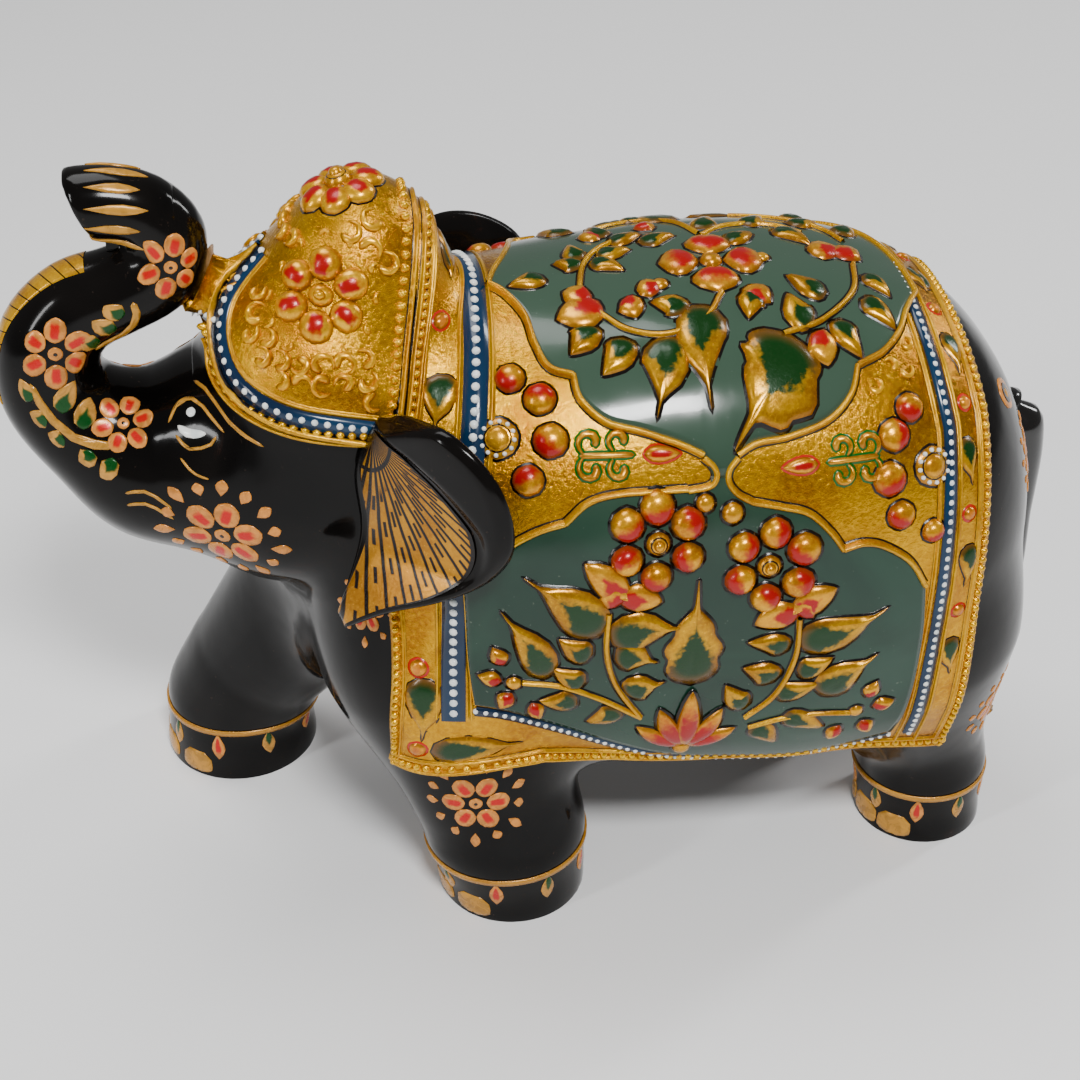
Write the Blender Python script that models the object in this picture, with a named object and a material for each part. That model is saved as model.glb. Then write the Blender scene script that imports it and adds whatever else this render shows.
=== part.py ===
"""Carved and gilded wooden elephant, trunk raised, as separate glued pieces.

The wood is a body (torso, head and legs), a trunk, two ears and a tail, held by hidden dowels.
Over it lie thin pieces of raised gilded plaster: a caparison with its panels, frames and bands,
a head cap, rosettes, anklets and eyes. Each piece is one named object.
The head points to -X, the tail to +X and up is +Z. Sizes are in millimetres until MM scales them.
"""

import math

import bmesh
import bpy
import numpy as np

MM = 0.001

# Torso: a rounded box, and what is placed from its ends and middle.
TORSO_LENGTH = 120.0
TORSO_WIDTH = 86.0
TORSO_HEIGHT = 105.4
TORSO_MID = (30.0, 0.0, 73.5)
TORSO_SQUARENESS = 2.5
FRONT = TORSO_MID[0] - TORSO_LENGTH / 2
REAR = TORSO_MID[0] + TORSO_LENGTH / 2
FLANK = TORSO_WIDTH / 2
SPINE = TORSO_MID[2] + TORSO_HEIGHT / 2

# Head: the skull's centre, and the neck that carries it.
SKULL = (FRONT - 11.0, 0.0, SPINE - 15.2)
SKULL_HALF = (21.5, 24.0, 24.0)
MUZZLE_RADIUS = 15.0

# Legs: hip, ankle and sole centres with their radii. The sole lies on z = 0.
LEGS = {
    "front_left": {
        "hip": (FRONT + 9.5, -18.0, 52.0), "ankle": (FRONT + 17.5, -25.0, 18.0),
        "sole": (FRONT + 20.5, -25.0, 0.0), "radii": (20.5, 15.0, 15.0),
    },
    "front_right": {
        "hip": (FRONT - 6.0, 16.0, 58.0), "ankle": (FRONT - 28.0, 25.0, 24.0),
        "sole": (FRONT - 34.0, 27.0, 0.0), "radii": (20.0, 15.5, 16.5),
    },
    "hind_left": {
        "hip": (REAR - 17.0, -17.0, 50.0), "ankle": (REAR - 11.0, -15.5, 16.0),
        "sole": (REAR - 10.0, -16.0, 0.0), "radii": (20.0, 12.5, 13.5),
    },
    "hind_right": {
        "hip": (REAR - 26.0, 20.0, 50.0), "ankle": (REAR - 26.0, 20.0, 14.0),
        "sole": (REAR - 26.0, 20.0, 0.0), "radii": (19.0, 12.5, 13.5),
    },
}
BELOW_FLOOR = 4.0

# Trunk: its line from the face joint to the tip, as steps from the skull's centre, and its radii.
TRUNK_JOINT_X = SKULL[0] - 23.0
TRUNK_LINE = (
    (-27.0, -17.5), (-35.0, -15.2), (-43.2, -9.0), (-48.3, -1.0), (-47.6, 8.3), (-42.2, 14.6),
    (-34.6, 17.5), (-27.6, 21.0), (-25.0, 27.6), (-28.6, 32.6), (-34.0, 34.4), (-38.8, 34.6),
)
TRUNK_ROOT_RADIUS = 17.4
TRUNK_RADII = (16.4, 13.7, 11.4, 10.0, 9.2, 8.6, 8.0, 7.6, 7.0, 6.7, 6.6, 6.6)
TRUNK_SIDES = 14
TRUNK_STEPS = 22

# Ears: the root line on the head and the free rim, from the top to the lower tip, as steps from the
# skull's centre. The right ear sits a little further back, as it was carved.
EAR_ROOT = ((10.0, 26.0, 4.0), (5.0, 26.0, -7.0), (5.0, 29.0, -19.0), (0.0, 33.0, -33.5))
EAR_RIM_LEFT = (
    (12.0, 32.0, 7.0), (20.0, 42.0, 9.0), (27.4, 48.0, 2.0), (29.8, 49.0, -10.0),
    (25.7, 46.5, -19.0), (17.0, 44.0, -24.5), (8.0, 40.0, -29.0), (0.5, 36.0, -34.5),
)
EAR_RIM_RIGHT = (
    (15.0, 34.0, 6.0), (27.0, 43.0, 7.0), (37.0, 47.0, 3.5), (44.0, 47.5, -3.0),
    (43.0, 49.0, -13.0), (32.0, 49.0, -21.0), (18.0, 46.5, -28.0), (1.5, 39.0, -34.5),
)
EAR_THICKNESS = 4.4
EAR_ACROSS = 6
EAR_DOWN = 11

# Tail: its line from the dowel on the rump to the tuft, as steps from the torso's rear end.
TAIL_LINE = (
    (-1.0, -0.5, 92.0), (3.5, -1.0, 82.0), (6.5, -2.0, 64.0),
    (5.0, -6.0, 44.0), (4.0, -9.0, 30.0), (2.5, -12.0, 17.0),
)
TAIL_RADII = (4.8, 4.2, 3.6, 3.4, 4.4, 3.0)
TAIL_PROUD = 2.2
TAIL_STEPS = 18
TAIL_DOWEL_AT = 3

# Hidden dowels, and the room round each one.
TRUNK_DOWEL_RADIUS = 4.0
TRUNK_DOWEL_LENGTH = 22.0
EAR_DOWEL_RADIUS = 1.4
EAR_DOWEL_LENGTH = 9.0
TAIL_DOWEL_RADIUS = 1.4
TAIL_DOWEL_LENGTH = 9.0
DOWEL_ROOM = 0.2
GLUE_GAP = 0.3

# Raised plaster: thicknesses over the wood, and widths of bands and frames.
CLOTH_THICKNESS = 1.0
PANEL_THICKNESS = 0.8
FRAME_THICKNESS = 1.7
RELIEF_THICKNESS = 1.2
BAND_WIDTH = 5.0
FRAME_WIDTH = 2.4
HEM_WIDTH = 2.6
ANKLET_WIDTH = 3.0
ANKLET_HEIGHT = 10.0
CLOTH_FRONT_HEM = 42.0
CLOTH_REAR_HEM = 34.5
CLOTH_REAR_INSET = 12.0
BELLY_GAP_HALF = 24.0

# Fineness of the carved wood's facets.
FACET = 9.4
RELAXINGS = 3
REACH = 90.0


# ---------------------------------------------------------------- the carved shape

def ellipsoid(points, centre, half, squareness=2.0):
    """Distance to a rounded box: its half sizes, and 2 for an ellipsoid or more for squarer sides."""
    share = np.abs((points - np.array(centre)) / np.array(half)) + 1e-5
    size = (share ** squareness).sum(1) ** (1 / squareness)
    slope = np.sqrt(((share ** (squareness - 1) / np.array(half)) ** 2).sum(1))
    return (size - 1) * size ** (squareness - 1) / slope


def bone(points, start, end, first, last):
    """Distance to a round cone between two points, with the radius at each."""
    start = np.array(start, float)
    run = np.array(end, float) - start
    along = np.clip((points - start) @ run / (run @ run), 0, 1)
    return np.linalg.norm(points - start - along[:, None] * run, axis=1) - (first + (last - first) * along)


def smooth_union(a, b, fillet):
    """Smaller of two distances, with a fillet where they meet."""
    mix = np.clip(0.5 + 0.5 * (b - a) / fillet, 0, 1)
    return b + (a - b) * mix - fillet * mix * (1 - mix)


def from_skull(step):
    return tuple(SKULL[i] + step[i] for i in range(3))


def masses():
    """The carver's masses: ellipsoids and bones with the fillet that joins each to the rest."""
    z = TORSO_MID[2]
    half = (TORSO_LENGTH / 2, FLANK, TORSO_HEIGHT / 2)
    found = [
        ("ellipsoid", TORSO_MID, half, TORSO_SQUARENESS, 10.0),
        ("ellipsoid", (FRONT + 24.0, 0, z + 3.5), (33.0, FLANK - 4.0, 42.0), 2.3, 12.0),
        ("ellipsoid", (REAR - 32.0, 0, z - 3.5), (36.5, FLANK - 2.5, 46.0), 2.3, 12.0),
        ("ellipsoid", (FRONT + 6.0, 0, z - 13.5), (24.0, 31.0, 35.0), 2.0, 10.0),
        ("bone", (FRONT + 30.0, 0, SPINE - 32.2), (FRONT, 0, SPINE - 22.2), 25.0, 23.0, 12.0),
        ("ellipsoid", SKULL, SKULL_HALF, 2.0, 8.0),
        ("ellipsoid", from_skull((8.5, 0, 19.0)), (14.0, 14.0, 16.5), 2.0, 8.0),
        ("ellipsoid", from_skull((-7.0, 0, -21.0)), (22.0, 24.0, 23.0), 2.0, 8.0),
        ("bone", from_skull((-13.0, 0, -16.0)), from_skull((-31.0, 0, -18.0)), 20.0, MUZZLE_RADIUS, 8.0),
    ]
    for leg in LEGS.values():
        thigh, ankle, foot = leg["radii"]
        found.append(("bone", leg["hip"], leg["ankle"], thigh, ankle, 12.0))
        found.append(("bone", (*leg["sole"][:2], 12.0), leg["sole"], ankle, foot, 6.0))
    return found


MASSES = masses()


def distance(points):
    """Distance of each point to the carved surface, negative inside. Feet end flat, below the floor."""
    total = None
    for kind, *sizes, fillet in MASSES:
        here = ellipsoid(points, *sizes) if kind == "ellipsoid" else bone(points, *sizes)
        total = here if total is None else smooth_union(total, here, fillet)
    return -smooth_union(-total, points[:, 2] + BELOW_FLOOR, BELOW_FLOOR)


def slope(points):
    """Unit direction in which the distance grows, from central differences."""
    step = 0.05
    sides = [distance(points + step * axis) - distance(points - step * axis) for axis in np.eye(3)]
    found = np.stack(sides, 1)
    return found / np.linalg.norm(found, axis=1)[:, None]


def settled(points, level=0.0, rounds=8):
    """Points walked along the slope until they lie level millimetres outside the carved surface."""
    points = np.array(points, float)
    for _ in range(rounds):
        points -= slope(points) * (distance(points) - level)[:, None]
    return points


def lifted(points, level, rounds=6):
    """Points nearer to the wood than their level pushed out to it, and the others left."""
    points = np.array(points, float)
    for _ in range(rounds):
        short = np.maximum(level - distance(points), 0)
        points += slope(points) * short[:, None]
    return points


def reach_out(start, axis, way):
    """How far along an axis the carved surface lies from a point inside the wood, by halving."""
    inside, outside = 0.0, REACH
    for _ in range(40):
        middle = (inside + outside) / 2
        point = np.array([start], float)
        point[0, axis] += way * middle
        if distance(point)[0] < 0:
            inside = middle
        else:
            outside = middle
    return start[axis] + way * inside


# ---------------------------------------------------------------- making objects

def material(name, colour, roughness, metallic):
    found = bpy.data.materials.new(name)
    found.use_nodes = True
    shader = found.node_tree.nodes["Principled BSDF"]
    shader.inputs["Base Color"].default_value = (*colour, 1.0)
    shader.inputs["Roughness"].default_value = roughness
    shader.inputs["Metallic"].default_value = metallic
    return found


BLACK = ((0.012, 0.011, 0.01), 0.16, 0.0)
GOLD = ((0.72, 0.42, 0.07), 0.3, 0.85)
GREEN = ((0.06, 0.17, 0.11), 0.25, 0.0)
BLUE = ((0.02, 0.06, 0.13), 0.25, 0.0)
RED = ((0.65, 0.09, 0.04), 0.3, 0.0)
WHITE = ((0.85, 0.83, 0.78), 0.3, 0.0)
WOOD = ((0.45, 0.3, 0.17), 0.6, 0.0)


def add_object(name, points, faces, look=None):
    """A mesh object from points in millimetres. Without a look it is a hidden helper."""
    mesh = bpy.data.meshes.new(name)
    mesh.from_pydata((np.asarray(points) * MM).tolist(), [], [tuple(map(int, face)) for face in faces])
    made = bpy.data.objects.new(name, mesh)
    bpy.context.scene.collection.objects.link(made)
    made.parent = STAND
    if look is None:
        made.hide_render = True
        made.display_type = "WIRE"
        return made
    mesh.materials.append(material(name, *look))
    mesh.shade_smooth()
    mesh.set_sharp_from_angle(angle=math.radians(40))
    return made


def cut(target, tool, operation="DIFFERENCE"):
    modifier = target.modifiers.new(f"{operation.lower()}_{tool.name}", "BOOLEAN")
    modifier.operation = operation
    modifier.object = tool
    modifier.solver = "EXACT"
    return target


def prism(name, outline, axis, low, high, look=None):
    """An outline pushed along one axis. The outline's pair of sizes are the other two axes in order."""
    outline = np.asarray(outline, float)
    count = len(outline)
    others = [i for i in range(3) if i != axis]
    points = np.zeros((2 * count, 3))
    points[:, others] = np.concatenate([outline, outline])
    points[:count, axis] = low
    points[count:, axis] = high
    faces = [tuple(range(count)), tuple(range(2 * count - 1, count - 1, -1))]
    faces += [(i, i + count, (i + 1) % count + count, (i + 1) % count) for i in range(count)]
    made = add_object(name, points, faces, look)
    facing_out(made.data)
    return made


def facing_out(mesh):
    bm = bmesh.new()
    bm.from_mesh(mesh)
    bmesh.ops.recalc_face_normals(bm, faces=bm.faces)
    bm.to_mesh(mesh)
    bm.free()


def box(name, low, high):
    outline = [(low[0], low[1]), (high[0], low[1]), (high[0], high[1]), (low[0], high[1])]
    return prism(name, outline, 2, low[2], high[2])


def rounded(corners, rounds=2):
    """A closed outline with its corners cut away in turn, which nears a smooth curve."""
    outline = np.asarray(corners, float)
    for _ in range(rounds):
        after = np.roll(outline, -1, axis=0)
        outline = np.stack([0.75 * outline + 0.25 * after, 0.25 * outline + 0.75 * after], 1).reshape(-1, 2)
    return outline


def curve(points, count):
    """Points evenly spaced along a smooth curve (Catmull-Rom) through the given ones."""
    points = np.asarray(points, float)
    ends = np.vstack([2 * points[0] - points[1], points, 2 * points[-1] - points[-2]])
    spots = np.linspace(0, len(points) - 1, 24 * len(points))
    index = np.minimum(spots.astype(int), len(points) - 2)
    t = (spots - index)[:, None]
    a, b, c, d = (ends[index + i] for i in range(4))
    squared = (2 * a - 5 * b + 4 * c - d) * t ** 2
    cubed = (3 * b - a - 3 * c + d) * t ** 3
    line = 0.5 * (2 * b + (c - a) * t + squared + cubed)
    run = np.r_[0, np.cumsum(np.linalg.norm(np.diff(line, axis=0), axis=1))]
    even = np.linspace(0, run[-1], count)
    return np.stack([np.interp(even, run, line[:, i]) for i in range(line.shape[1])], 1)


def grown(outline, by):
    """The outline moved outwards by a width along its corners' normals, or inwards if negative."""
    before = outline - np.roll(outline, 1, axis=0)
    after = np.roll(outline, -1, axis=0) - outline
    before /= np.linalg.norm(before, axis=1)[:, None]
    after /= np.linalg.norm(after, axis=1)[:, None]
    way = before + after
    way /= np.linalg.norm(way, axis=1)[:, None]
    normal = np.stack([way[:, 1], -way[:, 0]], 1)
    x, y = outline.T
    turn = np.sign((x * np.roll(y, -1) - y * np.roll(x, -1)).sum())
    stretch = 1 / np.maximum((way * after).sum(1), 0.6)
    return outline + turn * by * normal * stretch[:, None]


def lobed(centre, radius, lobes, depth, count=30, phase=0.0):
    """A flower's outline: a circle whose radius dips between its lobes."""
    angle = np.linspace(0, 2 * math.pi, count, endpoint=False)
    reach = radius * (1 - depth * (0.5 - 0.5 * np.cos(lobes * (angle - phase))))
    return np.stack([centre[0] + reach * np.cos(angle), centre[1] + reach * np.sin(angle)], 1)


def tube(name, line, radii, sides, look=None):
    """A round tube along points, each with its radius, closed by flat ends."""
    way = np.gradient(line, axis=0)
    way /= np.linalg.norm(way, axis=1)[:, None]
    side = np.cross(way, (0, 1, 0))
    side /= np.linalg.norm(side, axis=1)[:, None]
    up = np.cross(side, way)
    angle = np.linspace(0, 2 * math.pi, sides, endpoint=False)
    ring = side[:, None] * np.cos(angle)[:, None] + up[:, None] * np.sin(angle)[:, None]
    points = (line[:, None] + ring * np.asarray(radii)[:, None, None]).reshape(-1, 3)
    faces = []
    for i in range(len(line) - 1):
        for j in range(sides):
            k = (j + 1) % sides
            faces.append((i * sides + j, i * sides + k, (i + 1) * sides + k, (i + 1) * sides + j))
    faces.append(tuple(range(sides)))
    faces.append(tuple(range(len(points) - 1, len(points) - 1 - sides, -1)))
    made = add_object(name, points, faces, look)
    facing_out(made.data)
    return made


# ---------------------------------------------------------------- wood

def rough_block():
    """The masses as overlapping primitives, joined and remeshed into one even skin."""
    bm = bmesh.new()
    for kind, *sizes, _ in MASSES:
        if kind == "ellipsoid":
            centre, half, squareness = sizes
            made = bmesh.ops.create_uvsphere(bm, u_segments=32, v_segments=20, radius=1.0)
            for vertex in made["verts"]:
                size = sum(abs(a) ** squareness for a in vertex.co) ** (1 / squareness)
                vertex.co = [(centre[i] + half[i] * vertex.co[i] / size) * MM for i in range(3)]
            continue
        start, end, first, last = (np.array(v, float) for v in sizes)
        for share in np.linspace(0, 1, 9):
            made = bmesh.ops.create_uvsphere(bm, u_segments=24, v_segments=14, radius=1.0)
            middle = start + (end - start) * share
            radius = first + (last - first) * share
            for vertex in made["verts"]:
                vertex.co = [(middle[i] + radius * vertex.co[i]) * MM for i in range(3)]
    mesh = bpy.data.meshes.new("rough_block")
    bm.to_mesh(mesh)
    bm.free()
    rough = bpy.data.objects.new("rough_block", mesh)
    bpy.context.scene.collection.objects.link(rough)
    remesh = rough.modifiers.new("even_skin", "REMESH")
    remesh.mode = "VOXEL"
    remesh.voxel_size = FACET * MM
    bpy.context.view_layer.update()
    evaluated = rough.evaluated_get(bpy.context.evaluated_depsgraph_get())
    even = evaluated.to_mesh()
    points = np.array([v.co for v in even.vertices]) / MM
    faces = [tuple(p.vertices) for p in even.polygons]
    evaluated.to_mesh_clear()
    bpy.data.objects.remove(rough)
    return points, faces


def relaxed(points, faces):
    """Each point moved to the mean of the points it shares a face with, which evens the facets."""
    total = np.zeros_like(points)
    share = np.zeros(len(points))
    for size in {len(face) for face in faces}:
        ring = np.array([face for face in faces if len(face) == size])
        middle = points[ring].mean(1)
        for corner in range(size):
            np.add.at(total, ring[:, corner], middle)
            np.add.at(share, ring[:, corner], 1)
    return total / share[:, None]


def triangles(points, faces):
    """Every face split along its shorter diagonal, so that copies at other levels split the same way."""
    found = []
    for face in faces:
        if len(face) == 3:
            found.append(face)
            continue
        a, b, c, d = face
        if np.linalg.norm(points[a] - points[c]) < np.linalg.norm(points[b] - points[d]):
            found += [(a, b, c), (a, c, d)]
        else:
            found += [(a, b, d), (b, c, d)]
    return found


class Carving:
    """The carved skin, and copies of it at other levels that plaster pieces are trimmed to."""

    def __init__(self):
        points, self.faces = rough_block()
        for _ in range(RELAXINGS):
            points = relaxed(settled(points), self.faces)
        self.points = settled(points)
        self.faces = triangles(self.points, self.faces)
        self.normals = slope(self.points)
        self.helpers = {}

    def skin(self, level):
        key = round(level, 3)
        if key not in self.helpers:
            name = f"level_{int(round(1000 * level))}"
            self.helpers[key] = add_object(name, self.points + self.normals * level, self.faces)
        return self.helpers[key]


def make_body(carving):
    body = add_object("body", carving.points, carving.faces, BLACK)
    cut(body, box("floor_cut", (-300, -200, -60), (300, 200, 0)))
    cut(body, box("trunk_cut", (-300, -60, SKULL[2] - 45.0), (TRUNK_JOINT_X, 60, SKULL[2] + 12.0)))
    return body


def dowel(name, start, axis, length, radius, count, look, room=0.0):
    """A round pin along one axis, or with room added the hole for it."""
    angle = np.linspace(0, 2 * math.pi, count, endpoint=False)
    others = [i for i in range(3) if i != axis]
    ring = np.stack([start[others[0]] + (radius + room) * np.cos(angle),
                     start[others[1]] + (radius + room) * np.sin(angle)], 1)
    return prism(name, ring, axis, start[axis] - room, start[axis] + length + room, look)


def make_trunk(body):
    line = curve([(TRUNK_JOINT_X - GLUE_GAP, 0, SKULL[2] - 17.0)]
                 + [(SKULL[0] + x, 0, SKULL[2] + z) for x, z in TRUNK_LINE], TRUNK_STEPS)
    sized = curve([(i, radius) for i, radius in enumerate((TRUNK_ROOT_RADIUS,) + TRUNK_RADII)], TRUNK_STEPS)
    spots = np.linspace(0, len(TRUNK_RADII), TRUNK_STEPS)
    radii = np.interp(spots, sized[:, 0], sized[:, 1])
    trunk = tube("trunk", line, radii, TRUNK_SIDES, BLACK)
    cut(trunk, box("face_plane", (TRUNK_JOINT_X - GLUE_GAP, -60, 0), (0, 60, SKULL[2] + 12.0)))
    start = (TRUNK_JOINT_X - TRUNK_DOWEL_LENGTH / 2, 0.0, SKULL[2] - 17.0)
    sizes = (start, 0, TRUNK_DOWEL_LENGTH, TRUNK_DOWEL_RADIUS, 16)
    dowel("trunk_dowel", *sizes, WOOD)
    hole = dowel("trunk_dowel_hole", *sizes, None, DOWEL_ROOM)
    cut(trunk, hole)
    cut(body, hole)
    return trunk


def ear_points(rim, side, thickness):
    """Two faces of a leaf between its root and its rim, thinned towards the rim's edge."""
    down = EAR_DOWN
    root = settled(curve([from_skull(p) for p in EAR_ROOT], down), GLUE_GAP + 0.42 * EAR_THICKNESS)
    edge = curve([from_skull(p) for p in rim], down)
    across = np.linspace(0, 1, EAR_ACROSS)[None, :, None]
    middle = root[:, None] * (1 - across) + edge[:, None] * across
    free = np.clip(across[0, :, 0] / 0.3, 0, 1)
    clear = GLUE_GAP + 0.42 * EAR_THICKNESS + free * (CLOTH_THICKNESS + 2 * GLUE_GAP)
    middle = lifted(middle.reshape(-1, 3), np.tile(clear, down)).reshape(middle.shape)
    along = np.gradient(middle, axis=0)
    out = np.gradient(middle, axis=1)
    normal = np.cross(along, out)
    normal /= np.linalg.norm(normal, axis=2)[..., None] + 1e-9
    normal *= np.sign(normal[down // 2, EAR_ACROSS // 2, 1] + 1e-9)
    half = 0.5 * thickness * (1 - 0.3 * across ** 2)
    faces = np.stack([middle + normal * half, middle - normal * half])
    faces[..., 1] *= side
    return faces


def make_ear(name, rim, side, body, carving):
    """A leaf of wood on the side of the head, with its root scribed to the head and a dowel."""
    def leaf(label, thickness, look):
        points = ear_points(rim, side, thickness)
        rows, columns = points.shape[1:3]
        index = np.arange(2 * rows * columns).reshape(2, rows, columns)
        faces = []
        for layer in (0, 1):
            a = index[layer]
            quads = np.stack([a[:-1, :-1], a[1:, :-1], a[1:, 1:], a[:-1, 1:]], -1).reshape(-1, 4)
            faces += quads.tolist()
        loop = list(index[0, 0, :]) + list(index[0, 1:, -1])
        loop += list(index[0, -1, -2::-1]) + list(index[0, -2:0:-1, 0])
        under = [i + rows * columns for i in loop]
        faces += [(loop[i], loop[i - 1], under[i - 1], under[i]) for i in range(len(loop))]
        made = add_object(label, points.reshape(-1, 3), faces, look)
        facing_out(made.data)
        return made

    ear = leaf(name, EAR_THICKNESS, BLACK)
    cut(ear, carving.skin(GLUE_GAP))
    pocket = leaf(f"{name}_pocket", EAR_THICKNESS + 4 * GLUE_GAP, None)
    middle = ear_points(rim, side, EAR_THICKNESS)[:, EAR_DOWN // 3, 0].mean(0)
    deep = (middle[0], 0.0, middle[2])
    outer = reach_out(deep, 1, side) + side * (GLUE_GAP + 0.5 * EAR_THICKNESS)
    start = (middle[0] + EAR_DOWEL_RADIUS + 0.6, min(outer, outer - side * EAR_DOWEL_LENGTH), middle[2])
    sizes = (start, 1, EAR_DOWEL_LENGTH, EAR_DOWEL_RADIUS, 12)
    dowel(name.replace("ear", "ear_dowel"), *sizes, WOOD)
    hole = dowel(f"{name}_dowel_hole", *sizes, None, DOWEL_ROOM)
    cut(ear, hole)
    cut(body, hole)
    return pocket


def make_tail(body, carving):
    line = settled(curve([(REAR + x, y, z) for x, y, z in TAIL_LINE], TAIL_STEPS), TAIL_PROUD)
    radii = np.interp(np.linspace(0, len(TAIL_RADII) - 1, TAIL_STEPS), range(len(TAIL_RADII)), TAIL_RADII)
    tail = tube("tail", line, radii, 12, BLACK)
    cut(tail, carving.skin(GLUE_GAP))
    place = line[TAIL_DOWEL_AT]
    outer = reach_out((TORSO_MID[0], place[1], place[2]), 0, 1) + GLUE_GAP + TAIL_PROUD
    start = (outer - TAIL_DOWEL_LENGTH, place[1], place[2])
    sizes = (start, 0, TAIL_DOWEL_LENGTH, TAIL_DOWEL_RADIUS, 12)
    dowel("tail_dowel", *sizes, WOOD)
    hole = dowel("tail_dowel_hole", *sizes, None, DOWEL_ROOM)
    cut(tail, hole)
    cut(body, hole)


# ---------------------------------------------------------------- raised plaster

def coat(name, shape, carving, low, high, look, removed=()):
    """A plaster piece: a prism kept only between two levels over the wood, less what others take."""
    outline, axis, start, end = shape
    made = prism(name, outline, axis, start, end, look)
    cut(made, carving.skin(high), "INTERSECT")
    cut(made, carving.skin(low))
    for tool in removed:
        cut(made, tool)
    return made


def at(s, t):
    """A place in the torso's side view: shares of its half length and half height from its middle."""
    return (TORSO_MID[0] + s * TORSO_LENGTH / 2, TORSO_MID[2] + t * TORSO_HEIGHT / 2)


def cloth_front(z):
    """The caparison's front edge: how far forward it lies at a height."""
    heights = (CLOTH_FRONT_HEM, SPINE - 43.0, SPINE - 9.0, SPINE + 14.0)
    return np.interp(z, heights, (FRONT - 4.0, FRONT - 2.5, FRONT + 3.5, FRONT + 7.5))


def cloth_rear(z):
    heights = (CLOTH_REAR_HEM, SPINE - 20.0, SPINE)
    edge = REAR - CLOTH_REAR_INSET
    return np.interp(z, heights, (edge - 2.0, edge, edge - 3.0))


def hem_height(x):
    places = (FRONT, FRONT + 36.0, REAR - 14.0)
    return np.interp(x, places, (CLOTH_FRONT_HEM, CLOTH_REAR_HEM + 3.5, CLOTH_REAR_HEM))


def standing_strip(edge, first, last, bottom, top, steps=7):
    """The outline of an upright strip beside an edge curve x = edge(z), between two distances from it."""
    heights = np.linspace(bottom, top, steps)
    left = np.stack([edge(heights) + first, heights], 1)
    right = np.stack([edge(heights) + last, heights], 1)
    return np.concatenate([left, right[::-1]])


def lying_strip(left, right, first, last, steps=7):
    """The outline of a strip over the hem curve z = hem(x), between two heights above it."""
    places = np.linspace(left, right, steps)
    lower = np.stack([places, hem_height(places) + first], 1)
    upper = np.stack([places, hem_height(places) + last], 1)
    return np.concatenate([lower, upper[::-1]])


# The saddle medallion seen from above: cusps at both ends, three lobes down each flank.
SADDLE_HALF = ((-0.67, 0.0), (-0.5, 0.16), (-0.44, 0.34), (-0.4, 0.56), (-0.24, 0.74), (-0.05, 0.8),
               (0.05, 0.8), (0.24, 0.78), (0.36, 0.66), (0.4, 0.5), (0.48, 0.26), (0.57, 0.0))
# The side panel seen from the side: a cusp up towards the saddle, and four lobes along its top.
SIDE_PANEL = ((-0.76, -0.3), (-0.76, 0.28), (-0.68, 0.5), (-0.5, 0.54), (-0.3, 0.54), (-0.12, 0.56),
              (-0.05, 0.6), (0.02, 0.56), (0.18, 0.54), (0.34, 0.42), (0.44, 0.3), (0.56, 0.26),
              (0.57, -0.2), (0.55, -0.58), (0.42, -0.65), (0.1, -0.63), (-0.3, -0.5), (-0.62, -0.38))
SADDLE_FRONT_BAND = 9.5


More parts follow.
